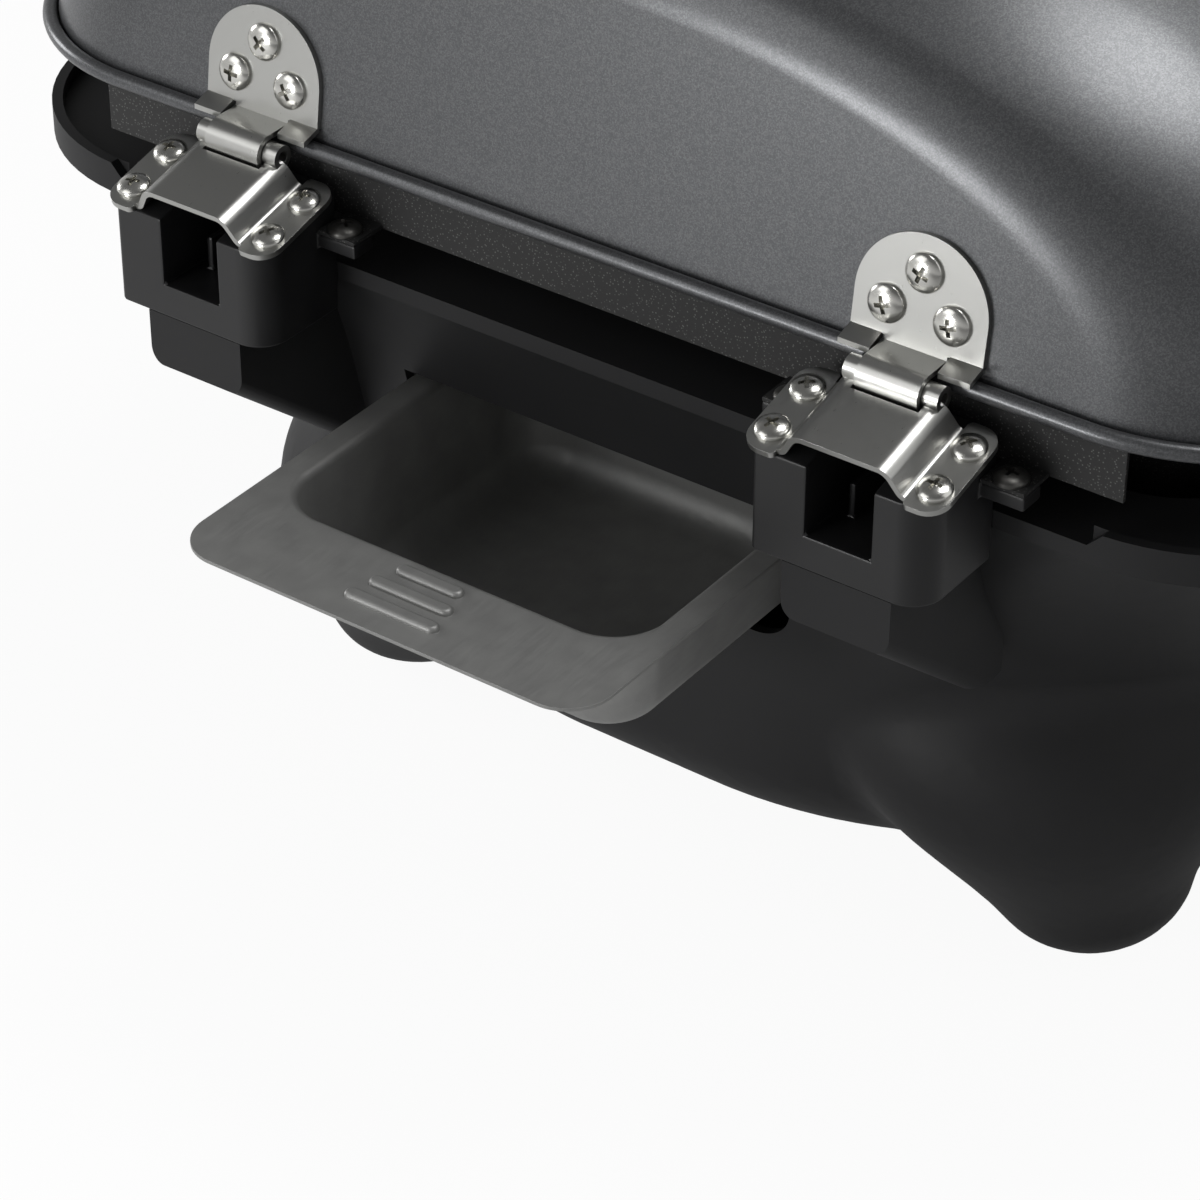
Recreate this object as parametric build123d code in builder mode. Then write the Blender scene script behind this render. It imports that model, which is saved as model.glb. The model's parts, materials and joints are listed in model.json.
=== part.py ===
from build123d import *
from math import cos, radians, sin, sqrt
import os

os.makedirs("parts", exist_ok=True)

# Driving dimensions in millimetres. X runs along the hinge line, +Y to the rear, Z up from the floor.

# Lid: a pressed steel dome on a rounded rectangular rim with a rolled bead
lid_width = 405.0
lid_depth = 320.0
lid_corner = 55.0
lid_rise = 112.0
lid_sheet = 1.5
shoulder_rise = 76.0
shoulder_radius = 12.0
panel_lean = 7.5
rim_height = 215.0
bead_radius = 2.2
bead_round = 2.1
lid_gap = 0.3
corner_shares = (0, 0.14, 0.27, 0.4, 0.55, 0.7, 0.85, 1)
barrel_shares = (0.15, 0.4, 0.7)

# Lift-off hinges: a hook on the lid leaf curls over the rolled end of the base plate
hinge_spacing = 200.0
axis_behind = 8.8
axis_drop = 1.0
knuckle_radius = 3.3
knuckle_bore = 1.7
hook_clearance = 0.3
hook_width = 17.5
hook_side_gap = 0.75
hook_wrap = 205.0
leaf_sheet = 1.5
leaf_width = 36.8
leaf_straight = 15.0
leaf_foot = 5.0
leaf_ear_reach = 6.3
leaf_ear_drop = 1.9
leaf_screw_low = 13.3
leaf_screw_high = 24.0
leaf_screw_spread = 18.2
leaf_screw_radius = 2.4
leaf_head_radius = 5.1
leaf_head_height = 2.6
nut_radius = 4.6
nut_height = 4.0
plate_tilt = 14.0
plate_sheet = 1.6
plate_width = 56.0
plate_length = 30.8
plate_corner = 6.0
plate_lead = 3.0
hat_width = 26.4
hat_spread = 3.8
hat_rise = 6.6
hat_length = 25.7
hat_bend = 1.6
knuckle_lift = 7.4
plate_screw_row = 5.1
plate_screw_pitch = 15.25
plate_screw_spread = 45.2
plate_screw_radius = 2.0
plate_head_radius = 4.6
plate_head_height = 2.4
plate_screw_length = 12.0
screw_clearance = 0.1
screw_tip_gap = 0.5
head_bevel = 1.2

# Hinge blocks: moulded boxes under the plates, open to the rear below the hat
block_width = 49.2
block_reach = 23.5
block_corner = 9.0
block_edge = 1.5
block_slot_width = 18.6
block_slot_depth = 26.5
block_slot_floor = 9.6
block_rib = 2.0
ear_width = 12.4
ear_depth = 8.0
ear_thickness = 4.0
ear_spread = 61.6

# Base: a tapering plastic bowl with a rim band, corbels under the hinge blocks and four rounded feet
base_wall = 3.0
rim_side = 4.5
rim_rear = 2.0
rim_corner = 57.0
rim_band = 9.0
rim_below_lid = 27.0
rear_notch = 4.0
rear_notch_inset = 52.5
deck_side = 30.5
deck_end = 24.0
deck_corner = 30.0
bowl_mouth_side = 2.5
bowl_mouth_end = 0.5
bowl_waist_side = 21.5
bowl_waist_end = 13.0
bowl_waist_corner = 80.0
bowl_waist_height = 146.0
bowl_belly_side = 40.5
bowl_belly_end = 24.0
bowl_belly_flat = 11.0
bowl_belly_height = 84.0
bowl_floor_side = 56.5
bowl_floor_end = 29.5
bowl_floor_flat = 4.0
bowl_floor_height = 25.0
bowl_floor_fillet = 30.0
corbel_width = 31.0
corbel_set_in = 0.3
corbel_top = 170.0
corbel_face = 16.0
corbel_slant = 36.0
corbel_root = 12.0
corbel_corner = 4.0
leg_top_side = 118.5
leg_top_end = 98.0
leg_top_height = 100.0
leg_top_radius = 58.0
leg_hip_side = 108.5
leg_hip_end = 88.0
leg_hip_height = 62.0
leg_hip_radius = 63.0
leg_knee_side = 99.7
leg_knee_end = 82.8
leg_knee_height = 40.0
leg_knee_radius = 48.0
foot_side = 81.0
foot_end = 82.6
foot_radius = 25.4
foot_fillet = 20.0
leg_blend = 16.0
skin_tolerance = 0.05
pad_radius = 12.0
pad_height = 6.0
pad_show = 2.0
pad_clearance = 0.1
vent_length = 60.0
vent_width = 6.0
vent_pitch = 16.0
vent_count = 5

# Firebox: a sheet-metal tub whose rim flange is turned down into four bands
firebox_sheet = 1.2
flange_inset = 2.0
band_inset = 46.0
band_side_inset = 60.0
band_drop = 16.5
tub_side = 37.5
tub_end = 32.0
tub_corner = 25.0
tub_height = 56.0
tub_taper = 15.0
tub_fillet = 8.0
tab_width = 12.0
drain_radius = 14.0
drain_back = 58.0

# Cooking grate, heating element and their supports
grate_side_gap = 15.0
grate_end_gap = 12.0
grate_thickness = 7.0
grate_corner = 18.0
grate_below_rim = 9.5
grate_border = 12.0
grate_slot = 7.0
grate_pitch = 14.5
grate_cross = 10.0
grate_edge = 1.5
rest_width = 24.0
rest_length = 12.0
rest_height = 12.0
rest_inset = 46.0
element_radius = 3.6
element_drop = 38.0
element_bend = 20.0
element_side_gap = 37.0
element_end_gap = 44.0
element_inner_x = 46.0
element_inner_gap = 44.0
element_terminal_x = 18.0
element_reach = 16.0
element_hole_gap = 0.5
saddle_width = 14.0
saddle_depth = 8.0
saddle_clearance = 0.2
terminal_width = 64.0
terminal_depth = 12.0
terminal_height = 15.0
terminal_lead = 9.0

# Drip tray and its rails. At rest the tray stands pulled out to the rear, as in use for cleaning.
tray_width = 128.0
tray_length = 150.0
tray_corner = 13.0
tray_sheet = 1.0
tray_reach = 85.9
tray_drop = 69.75
tray_lip = 30.0
tray_side_lip = 7.0
tray_back_lip = 8.0
pan_depth = 38.0
pan_draft = 8.0
pan_corner = 16.0
pan_fillet = 11.0
pan_rim = 2.5
rib_lengths = (29.0, 25.5, 20.5)
rib_width = 4.2
rib_rise = 1.5
rib_round = 1.2
rib_first = 9.4
rib_pitch = 7.7
slot_clearance = 2.0
slot_floor_gap = 6.0
slot_side_gap = 3.0
slot_corner = 12.0
rail_clearance = 0.3
rail_sheet = 1.5
rail_shelf = 6.6
rail_gap = 1.6
rail_flange = 12.0
rail_start = 18.0
rail_length = 132.0
rail_flange_start = 56.0
rail_flange_length = 90.0
rail_screw_radius = 1.9
rail_head_radius = 3.6
rail_head_height = 2.0
rail_screw_end = 3.0
rail_screw_margin = 15.0

# Controls on a pod at the front of the base
pod_width = 160.0
pod_out = 12.0
pod_bottom = 96.0
pod_height = 56.0
pod_corner = 12.0
pod_in = 50.0
fascia_width = 152.0
fascia_height = 48.0
fascia_thickness = 3.0
fascia_corner = 8.0
fascia_opening_border = 8.0
fascia_screw_inset = 5.0
knob_radius = 19.0
knob_depth = 20.0
knob_gap = 0.6
knob_flutes = 14
knob_flute_radius = 2.4
knob_fillet = 2.0
knob_pointer = 1.6
shaft_radius = 3.0
shaft_clearance = 0.05
shaft_sink = 12.0
shaft_hole_gap = 0.3
shaft_end_gap = 0.5
thermostat_width = 36.0
thermostat_height = 30.0
thermostat_depth = 22.0
lens_radius = 5.0
lens_flange = 1.5
lens_round = 1.2
lens_offset = 48.0
inlet_width = 27.0
inlet_depth = 18.0
inlet_height = 22.0
inlet_offset = 46.0
inlet_back = 17.0
inlet_flange = 3.0
inlet_wall = 2.0
inlet_pin = 2.0
inlet_pin_pitch = 7.0
inlet_clearance = 0.15

# Lid handle
handle_height = 32.0
handle_spread = 120.0
handle_length = 172.0
handle_section = 22.0
handle_corner = 8.0
grip_round = 9.9
post_radius = 9.0
post_length = 26.0
handle_screw_sink = 12.0

# Places worked out from the driving dimensions
lean = radians(panel_lean)
tilt = radians(plate_tilt)
handle_nose_out = post_length + handle_section - handle_corner
handle_nose_up = handle_height - handle_section / 2 + handle_corner
handle_out = handle_nose_out * cos(lean) - handle_nose_up * sin(lean) + handle_corner
handle_reach = lid_depth / 2 + handle_out
pod_reach = lid_depth / 2 + pod_out
knob_reach = pod_reach + fascia_thickness + knob_gap + knob_depth
front_reach = max(handle_reach, knob_reach)
rear_reach = lid_depth / 2 + tray_reach
lid_y = (front_reach - rear_reach) / 2
lid_rear = lid_y + lid_depth / 2
lid_front = lid_y - lid_depth / 2
axis_y = lid_rear + axis_behind
axis_z = rim_height - axis_drop
flange_top = rim_height - bead_radius - lid_gap
band_bottom = flange_top - band_drop
rim_top = rim_height - rim_below_lid
rim_bottom = rim_top - rim_band
deck_top = rim_top - rear_notch
tub_floor = flange_top - tub_height
tray_top = rim_height - tray_drop
tray_front = lid_rear + tray_reach
element_z = flange_top - element_drop
tub_width = lid_width - 2 * tub_side
tub_depth = lid_depth - 2 * tub_end
grate_width = tub_width - 2 * grate_side_gap
grate_depth = tub_depth - 2 * grate_end_gap
foot_x = lid_width / 2 - foot_side
foot_y = lid_depth / 2 - foot_end
hook_inner = knuckle_radius + hook_clearance
hook_outer = hook_inner + leaf_sheet
hinge_sides = {"right": hinge_spacing / 2, "left": -hinge_spacing / 2}

rear_panel = Plane(
    origin=(0, lid_rear, rim_height), x_dir=(-1, 0, 0), z_dir=(0, cos(lean), sin(lean))
)
front_panel = Plane(
    origin=(0, lid_front, rim_height), x_dir=(1, 0, 0), z_dir=(0, -cos(lean), sin(lean))
)
hinge_plane = Plane(origin=(0, axis_y, axis_z), x_dir=(1, 0, 0), z_dir=(0, sin(tilt), cos(tilt)))
fascia_plane = Plane(
    origin=(0, lid_y - pod_reach, pod_bottom + pod_height / 2), x_dir=(1, 0, 0), z_dir=(0, -1, 0)
)

leaf_screw_points = [
    (side + along, up)
    for side in (-hinge_spacing / 2, hinge_spacing / 2)
    for along, up in (
        (0, leaf_screw_high),
        (-leaf_screw_spread / 2, leaf_screw_low),
        (leaf_screw_spread / 2, leaf_screw_low),
    )
]
plate_screw_points = [
    (side + across * plate_screw_spread / 2, plate_screw_row + row * plate_screw_pitch)
    for side in (-hinge_spacing / 2, hinge_spacing / 2)
    for across in (-1, 1)
    for row in (0, 1)
]
handle_points = [(-handle_spread / 2, handle_height), (handle_spread / 2, handle_height)]
ear_points = [
    (side + across * ear_spread / 2, end * (lid_depth / 2 + rim_rear + ear_depth / 2))
    for side in (-hinge_spacing / 2, hinge_spacing / 2)
    for across in (-1, 1)
    for end in (-1, 1)
]
foot_points = [(x * foot_x, lid_y + y * foot_y) for x in (-1, 1) for y in (-1, 1)]
rail_inner = tray_width / 2 + rail_gap
rail_screw_points = [
    (hand * (rail_inner + rail_sheet + rail_flange / 2), lid_rear - rail_flange_start - along)
    for hand in (-1, 1)
    for along in (rail_screw_margin, rail_flange_length - rail_screw_margin)
]


def outline(height, half_width, half_depth, corner):
    """Rounded rectangle at a height, centred under the lid."""
    with BuildSketch(Plane.XY.offset(height)) as section:
        with Locations((0, lid_y)):
            RectangleRounded(2 * half_width, 2 * half_depth, corner)
    return section.sketch


def pan_screw(head_radius, head_height, shank_radius, shank_length):
    """Screw with a bevelled pan head that stands on its seat, shank below."""
    with BuildPart() as screw:
        Cylinder(head_radius, head_height, align=(Align.CENTER, Align.CENTER, Align.MIN))
        chamfer(screw.edges().sort_by(Axis.Z)[-1], head_bevel)
        Cylinder(shank_radius, shank_length, align=(Align.CENTER, Align.CENTER, Align.MAX))
    return screw.part


def half_width_at(distance):
    """Half width of the lid rim at a distance in from its rear or front edge."""
    inside = max(lid_corner - distance, 0)
    return lid_width / 2 - lid_corner + sqrt(lid_corner**2 - inside**2)


def rise_at(distance):
    """Height of the lid's ridge over the rim at a distance in from its rear or front edge."""
    crown = (lid_rise - shoulder_rise) * (1 - 2 * distance / lid_depth) ** 2
    inside = max(shoulder_radius - distance, 0)
    return lid_rise - crown - shoulder_radius + sqrt(shoulder_radius**2 - inside**2)


def lid_section(end, distance, inset):
    """Half ellipse across the lid, leaning with the end panel where it is close to it."""
    angle = end * lean * max(1 - distance / lid_corner, 0)
    depth = distance + inset * max(1 - distance / lid_corner, 0)
    across = half_width_at(distance) - inset
    plane = Plane(
        origin=(0, lid_y + end * (lid_depth / 2 - depth), rim_height),
        x_dir=(1, 0, 0),
        z_dir=(0, -cos(angle), -sin(angle)),
    )
    with BuildSketch(plane) as section:
        with BuildLine():
            EllipticalCenterArc((0, 0), across, rise_at(distance) - inset, 0, arc_size=180)
            Line((-across, 0), (across, 0))
        make_face()
    return section.sketch


def lid_form(inset):
    """The lid's whole outer form, or its hollow when drawn in by an inset."""
    corner_steps = [lid_corner * share**2 for share in corner_shares]
    barrel_steps = [lid_corner + (lid_depth / 2 - lid_corner) * share for share in barrel_shares]
    steps = corner_steps + barrel_steps
    rear = [lid_section(1, step, inset) for step in steps]
    front = [lid_section(-1, step, inset) for step in reversed(steps)]
    with BuildPart() as form:
        loft(rear + [lid_section(1, lid_depth / 2, inset)] + front)
    return form.part


# Rolled bead round the lid rim, later joined to the lid sheet
with BuildPart() as bead:
    bead_reach = 2 * bead_radius
    bead_inside = 2 * lid_sheet
    extrude(
        outline(rim_height - bead_radius, lid_width / 2 + bead_reach, lid_depth / 2 + bead_reach,
                lid_corner + bead_reach),
        amount=2 * bead_radius,
    )
    fillet(bead.edges().group_by(Axis.Z)[0] + bead.edges().group_by(Axis.Z)[-1], bead_round)
    extrude(
        outline(rim_height - bead_radius, lid_width / 2 - bead_inside, lid_depth / 2 - bead_inside,
                lid_corner - bead_inside),
        amount=2 * bead_radius,
        mode=Mode.SUBTRACT,
    )

# Lid shell: dome, end panels and bead in one sheet, drilled for the hinge leaves and the handle
with BuildPart() as lid_shell:
    add(lid_form(0))
    add(bead.part)
    add(lid_form(lid_sheet), mode=Mode.SUBTRACT)
    with BuildSketch(rear_panel):
        with Locations(*leaf_screw_points):
            Circle(leaf_screw_radius + screw_clearance)
    extrude(amount=2 * lid_sheet, both=True, mode=Mode.SUBTRACT)
    with BuildSketch(front_panel):
        with Locations(*handle_points):
            Circle(leaf_screw_radius + screw_clearance)
    extrude(amount=2 * lid_sheet, both=True, mode=Mode.SUBTRACT)
lid_shell.part.label = "lid_shell"
export_step(lid_shell.part, "parts/lid_shell.step")

# Hinge leaves: D-shaped sheet on the rear panel with a hook in the middle and an ear on each side
for side, hinge_x in hinge_sides.items():
    leaf_plane = Plane(origin=(hinge_x, lid_rear, rim_height), x_dir=(-1, 0, 0), z_dir=rear_panel.z_dir)
    hook_plane = Plane(
        origin=(hinge_x - hook_width / 2, axis_y, axis_z), x_dir=(0, 1, 0), z_dir=(1, 0, 0)
    )
    ear_inner = hook_width / 2 + hook_side_gap
    ear_top = leaf_foot + leaf_sheet / 2
    with BuildPart() as hinge_leaf:
        with BuildSketch(leaf_plane):
            with BuildLine():
                Polyline((-leaf_width / 2, leaf_straight), (-leaf_width / 2, leaf_foot),
                         (leaf_width / 2, leaf_foot), (leaf_width / 2, leaf_straight))
                CenterArc((0, leaf_straight), leaf_width / 2, 0, 180)
            make_face()
            with Locations((0, hook_inner - axis_drop)):
                Rectangle(hook_width, leaf_foot, align=(Align.CENTER, Align.MIN))
            with Locations((0, leaf_screw_high)):
                Circle(leaf_screw_radius + screw_clearance, mode=Mode.SUBTRACT)
            with Locations((-leaf_screw_spread / 2, leaf_screw_low), (leaf_screw_spread / 2, leaf_screw_low)):
                Circle(leaf_screw_radius + screw_clearance, mode=Mode.SUBTRACT)
        extrude(amount=leaf_sheet)
        with BuildSketch(hook_plane):
            with BuildLine():
                outer_curl = CenterArc((0, 0), hook_outer, 90, -hook_wrap)
                inner_curl = CenterArc((0, 0), hook_inner, 90, -hook_wrap)
                Line(outer_curl @ 1, inner_curl @ 1)
                Polyline(
                    (0, hook_outer), (-axis_behind, hook_outer), (-axis_behind, hook_inner), (0, hook_inner)
                )
            make_face()
        extrude(amount=hook_width)
        for ear_x in (hinge_x - leaf_width / 2, hinge_x + ear_inner):
            with BuildSketch(Plane(origin=(ear_x, lid_rear, rim_height), x_dir=(0, 1, 0), z_dir=(1, 0, 0))):
                with BuildLine():
                    Polyline(
                        (0, ear_top),
                        (leaf_ear_reach, ear_top - leaf_ear_drop),
                        (leaf_ear_reach, ear_top - leaf_ear_drop - leaf_sheet),
                        (0, ear_top - leaf_sheet),
                        close=True,
                    )
                make_face()
            extrude(amount=leaf_width / 2 - ear_inner)
    hinge_leaf.part.label = f"hinge_leaf_{side}"
    export_step(hinge_leaf.part, f"parts/hinge_leaf_{side}.step")

# Screws through the leaves and the rear panel, with a nut on each inside the lid
leaf_screw_length = leaf_sheet + lid_sheet + nut_height
leaf_screw = pan_screw(leaf_head_radius, leaf_head_height, leaf_screw_radius, leaf_screw_length)
with BuildPart() as leaf_screws:
    with Locations(rear_panel.offset(leaf_sheet)):
        with Locations(*leaf_screw_points):
            add(leaf_screw)
leaf_screws.part.label = "leaf_screws"
export_step(leaf_screws.part, "parts/leaf_screws.step")

with BuildPart() as leaf_nuts:
    with BuildSketch(rear_panel.offset(-lid_sheet)):
        with Locations(*leaf_screw_points):
            RegularPolygon(nut_radius, 6)
            Circle(leaf_screw_radius + screw_clearance, mode=Mode.SUBTRACT)
    extrude(amount=-nut_height)
leaf_nuts.part.label = "leaf_nuts"
export_step(leaf_nuts.part, "parts/leaf_nuts.step")

# Lid handle: a grip bar held off the front panel by two posts
grip_plane = front_panel.offset(post_length)
with BuildPart() as handle_posts:
    with BuildSketch(front_panel):
        with Locations(*handle_points):
            Circle(post_radius)
            Circle(leaf_screw_radius + screw_clearance, mode=Mode.SUBTRACT)
    extrude(amount=post_length)
handle_posts.part.label = "handle_posts"
export_step(handle_posts.part, "parts/handle_posts.step")

with BuildPart() as handle_grip:
    with BuildSketch(grip_plane):
        with Locations((0, handle_height)):
            RectangleRounded(handle_length, handle_section, grip_round)
    extrude(amount=handle_section)
    outer_face = handle_grip.faces().sort_by(Axis(grip_plane.origin, grip_plane.z_dir))[-1]
    fillet(outer_face.edges(), handle_corner)
    with BuildSketch(grip_plane):
        with Locations(*handle_points):
            Circle(leaf_screw_radius + screw_clearance)
    extrude(amount=handle_screw_sink, mode=Mode.SUBTRACT)
handle_grip.part.label = "handle_grip"
export_step(handle_grip.part, "parts/handle_grip.step")

handle_screw_length = lid_sheet + post_length + handle_screw_sink - screw_tip_gap
handle_screw = pan_screw(leaf_head_radius, leaf_head_height, leaf_screw_radius, handle_screw_length)
inside_front = Plane(
    origin=front_panel.offset(-lid_sheet).origin, x_dir=(-1, 0, 0), z_dir=-front_panel.z_dir
)
with BuildPart() as handle_screws:
    with Locations(inside_front):
        with Locations(*handle_points):
            add(handle_screw)
handle_screws.part.label = "handle_screws"
export_step(handle_screws.part, "parts/handle_screws.step")

# Hinge plates: hat section with sloped walls and a rolled end that the hook hangs on
plate_face = hinge_plane.offset(-knuckle_lift)
hat_foot = hat_width / 2 + hat_spread
hat_half = hat_width / 2
for side, hinge_x in hinge_sides.items():
    plate_plane = plate_face.shift_origin((hinge_x, plate_face.origin.Y, plate_face.origin.Z))
    profile_plane = Plane(
        origin=plate_plane.origin - plate_plane.y_dir * plate_lead, x_dir=(1, 0, 0), z_dir=-plate_plane.y_dir
    )
    knuckle_plane = Plane(origin=(hinge_x - hat_half, axis_y, axis_z), x_dir=(0, 1, 0), z_dir=(1, 0, 0))
    slot_end = hook_outer + 2 * hook_clearance
    with BuildPart() as hinge_plate:
        with BuildSketch(profile_plane):
            with BuildLine():
                FilletPolyline(
                    (-plate_width / 2, 0), (-hat_foot, 0), (-hat_half, hat_rise),
                    (hat_half, hat_rise), (hat_foot, 0), (plate_width / 2, 0), radius=hat_bend,
                )
                offset(amount=plate_sheet, side=Side.RIGHT)
            make_face()
        extrude(amount=-plate_length)
        with BuildSketch(plate_plane):
            with Locations((0, plate_length / 2 - plate_lead)):
                RectangleRounded(plate_width, plate_length, plate_corner)
        extrude(amount=hat_rise + plate_sheet, both=True, mode=Mode.INTERSECT)
        with BuildSketch(plate_plane):
            with Locations((0, plate_screw_row + plate_screw_pitch / 2)):
                with GridLocations(plate_screw_spread, plate_screw_pitch, 2, 2):
                    Circle(plate_screw_radius + screw_clearance)
        extrude(amount=-plate_sheet, mode=Mode.SUBTRACT)
        with BuildSketch(plate_plane):
            Rectangle(2 * (hat_foot + hat_bend), plate_lead, align=(Align.CENTER, Align.MAX))
            with Locations((0, hat_length)):
                Rectangle(2 * (hat_foot + hat_bend), plate_length, align=(Align.CENTER, Align.MIN))
            Rectangle(hook_width + 2 * hook_side_gap, slot_end, align=(Align.CENTER, Align.MIN))
        extrude(amount=hat_rise + plate_sheet, both=True, mode=Mode.SUBTRACT)
        with BuildSketch(knuckle_plane):
            Circle(knuckle_radius)
            Circle(knuckle_bore, mode=Mode.SUBTRACT)
        extrude(amount=hat_width)
    hinge_plate.part.label = f"hinge_plate_{side}"
    export_step(hinge_plate.part, f"parts/hinge_plate_{side}.step")

plate_screw = pan_screw(plate_head_radius, plate_head_height, plate_screw_radius, plate_screw_length)
with BuildPart() as plate_screws:
    with Locations(plate_face):
        with Locations(*plate_screw_points):
            add(plate_screw)
plate_screws.part.label = "plate_screws"
export_step(plate_screws.part, "parts/plate_screws.step")

# Hinge blocks: each stands on its corbel against the rim band, its top cut to the plate's tilt
block_back = lid_rear + rim_rear
block_front = axis_y + block_reach
block_top = plate_face.offset(-plate_sheet)
for side, hinge_x in hinge_sides.items():
    block_plane = block_top.shift_origin((hinge_x, block_top.origin.Y, block_top.origin.Z))
    with BuildPart() as hinge_block:
        with BuildSketch(Plane.XY.offset(corbel_top)):
            with Locations((hinge_x, block_back)):
                Rectangle(block_width, block_front - block_back, align=(Align.CENTER, Align.MIN))
        extrude(amount=rim_height - corbel_top)
        fillet(hinge_block.edges().filter_by(Axis.Z).group_by(Axis.Y)[-1].sort_by(Axis.X)[0], block_corner)
        fillet(hinge_block.edges().filter_by(Axis.Z).group_by(Axis.Y)[-1].sort_by(Axis.X)[-1], block_edge)
        split(bisect_by=block_top, keep=Keep.BOTTOM)
        with BuildSketch(Plane.XY.offset(corbel_top + block_slot_floor)):
            with Locations((hinge_x, block_front)):
                Rectangle(block_slot_width, block_slot_depth, align=(Align.CENTER, Align.MAX))
        extrude(amount=rim_height - corbel_top, mode=Mode.SUBTRACT)
        with BuildSketch(Plane.XY.offset(corbel_top + block_slot_floor)):
            with Locations((hinge_x, block_front - block_slot_depth)):
                with GridLocations(block_slot_width / 2, 1, 2, 1):
                    Rectangle(block_rib, block_slot_depth / 2, align=(Align.CENTER, Align.MIN))
        extrude(amount=block_slot_floor)
        with BuildSketch(Plane.XY.offset(band_bottom - ear_thickness)):
            with Locations((hinge_x, block_back)):
                Rectangle(ear_spread + ear_width, ear_depth, align=(Align.CENTER, Align.MIN))
                ear_inside = block_width - 2 * block_rib
                Rectangle(ear_inside, ear_depth, align=(Align.CENTER, Align.MIN), mode=Mode.SUBTRACT)
        extrude(amount=ear_thickness)
        with BuildSketch(Plane.XY.offset(band_bottom)):
            with Locations((hinge_x, block_back + ear_depth / 2)):
                with GridLocations(ear_spread, 1, 2, 1):
                    Circle(plate_screw_radius + screw_clearance)
        extrude(amount=-ear_thickness, mode=Mode.SUBTRACT)
        with BuildSketch(block_plane):
            with Locations((0, plate_screw_row + plate_screw_pitch / 2)):
                with GridLocations(plate_screw_spread, plate_screw_pitch, 2, 2):
                    Circle(plate_screw_radius + screw_clearance)
        extrude(amount=-plate_screw_length, mode=Mode.SUBTRACT)
    hinge_block.part.label = f"hinge_block_{side}"
    export_step(hinge_block.part, f"parts/hinge_block_{side}.step")

# Base shell: bowl, feet, corbels and control pod in one hollow moulding with a flat deck and a raised lip
bowl_stations = (
    (rim_bottom, bowl_mouth_side, bowl_mouth_end, rim_corner),
    (bowl_waist_height, bowl_waist_side, bowl_waist_end, bowl_waist_corner),
    (bowl_belly_height, bowl_belly_side, bowl_belly_end, lid_depth / 2 - bowl_belly_end - bowl_belly_flat),
    (bowl_floor_height, bowl_floor_side, bowl_floor_end, lid_depth / 2 - bowl_floor_end - bowl_floor_flat),
)
pod_depth = pod_out + pod_in
rim_half_width = lid_width / 2 + rim_side
rim_half_depth = lid_depth / 2 + rim_rear
pan_half = tray_width / 2 - tray_side_lip
slot_half = tray_width / 2 + slot_clearance
slot_top = tray_top + slot_clearance
slot_step = tray_top - tray_sheet - rail_clearance - slot_clearance
slot_floor = tray_top - pan_depth - slot_floor_gap
inlet_y = lid_y - pod_reach + inlet_back
fascia_screw_points = [
    (x * (fascia_width / 2 - fascia_screw_inset), y * (fascia_height / 2 - fascia_screw_inset))
    for x in (-1, 1)
    for y in (-1, 1)
]


def bowl_form(inset):
    """The bowl's tapering body, drawn in by an inset for its hollow."""
    with BuildPart() as bowl:
        sections = []
        for height, side_in, end_in, corner in bowl_stations:
            lift = inset if height == bowl_floor_height else 0
            half_width = lid_width / 2 - side_in - inset
            half_depth = lid_depth / 2 - end_in - inset
            sections.append(outline(height + lift, half_width, half_depth, corner - inset))
        loft(sections)
        fillet(bowl.faces().sort_by(Axis.Z)[0].edges(), bowl_floor_fillet - inset)
    return bowl.part


def leg_form(x, y, inset, bottom):
    """One rounded leg that swells out of the bowl, drawn in by an inset for its hollow."""
    stations = (
        (leg_top_height, leg_top_side, leg_top_end, leg_top_radius),
        (leg_hip_height, leg_hip_side, leg_hip_end, leg_hip_radius),
        (leg_knee_height, leg_knee_side, leg_knee_end, leg_knee_radius),
        (bottom, foot_side, foot_end, foot_radius),
    )
    with BuildPart() as leg:
        for height, side_in, end_in, radius in stations:
            with BuildSketch(Plane.XY.offset(height)):
                with Locations((x * (lid_width / 2 - side_in), lid_y + y * (lid_depth / 2 - end_in))):
                    Circle(radius - inset)
        loft()
        fillet(leg.faces().sort_by(Axis.Z)[0].edges(), foot_fillet - inset)
    return leg.part


def lies_on(edge, form):
    """Whether the middle of an edge is on a form's skin."""
    return form.shell().distance_to(Vertex(*(edge @ 0.5))) < skin_tolerance


def runs_down_and_back(edge):
    """Whether an edge slopes in height and depth, as the two edges under a corbel do."""
    run = edge @ 1 - edge @ 0
    return min(abs(run.Y), abs(run.Z)) > base_wall


def corbel_form(hinge_x):
    """One corbel: a bracket under a hinge block with a slanted underside and rounded lower corners."""
    side_plane = Plane(
        origin=(hinge_x - corbel_width / 2, lid_rear, corbel_top), x_dir=(0, 1, 0), z_dir=(1, 0, 0)
    )
    corbel_tip = axis_behind + block_reach - corbel_set_in
    with BuildPart() as corbel:
        with BuildSketch(side_plane):
            with BuildLine():
                Polyline(
                    (-2 * corbel_root, 0),
                    (corbel_tip, 0),
                    (corbel_tip, -corbel_face),
                    (-corbel_root, -corbel_face - corbel_slant),
                    (-2 * corbel_root, -corbel_face - corbel_slant),
                    close=True,
                )
            make_face()
        extrude(amount=corbel_width)
        fillet(corbel.edges().filter_by(runs_down_and_back), corbel_corner)
    return corbel.part


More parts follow.
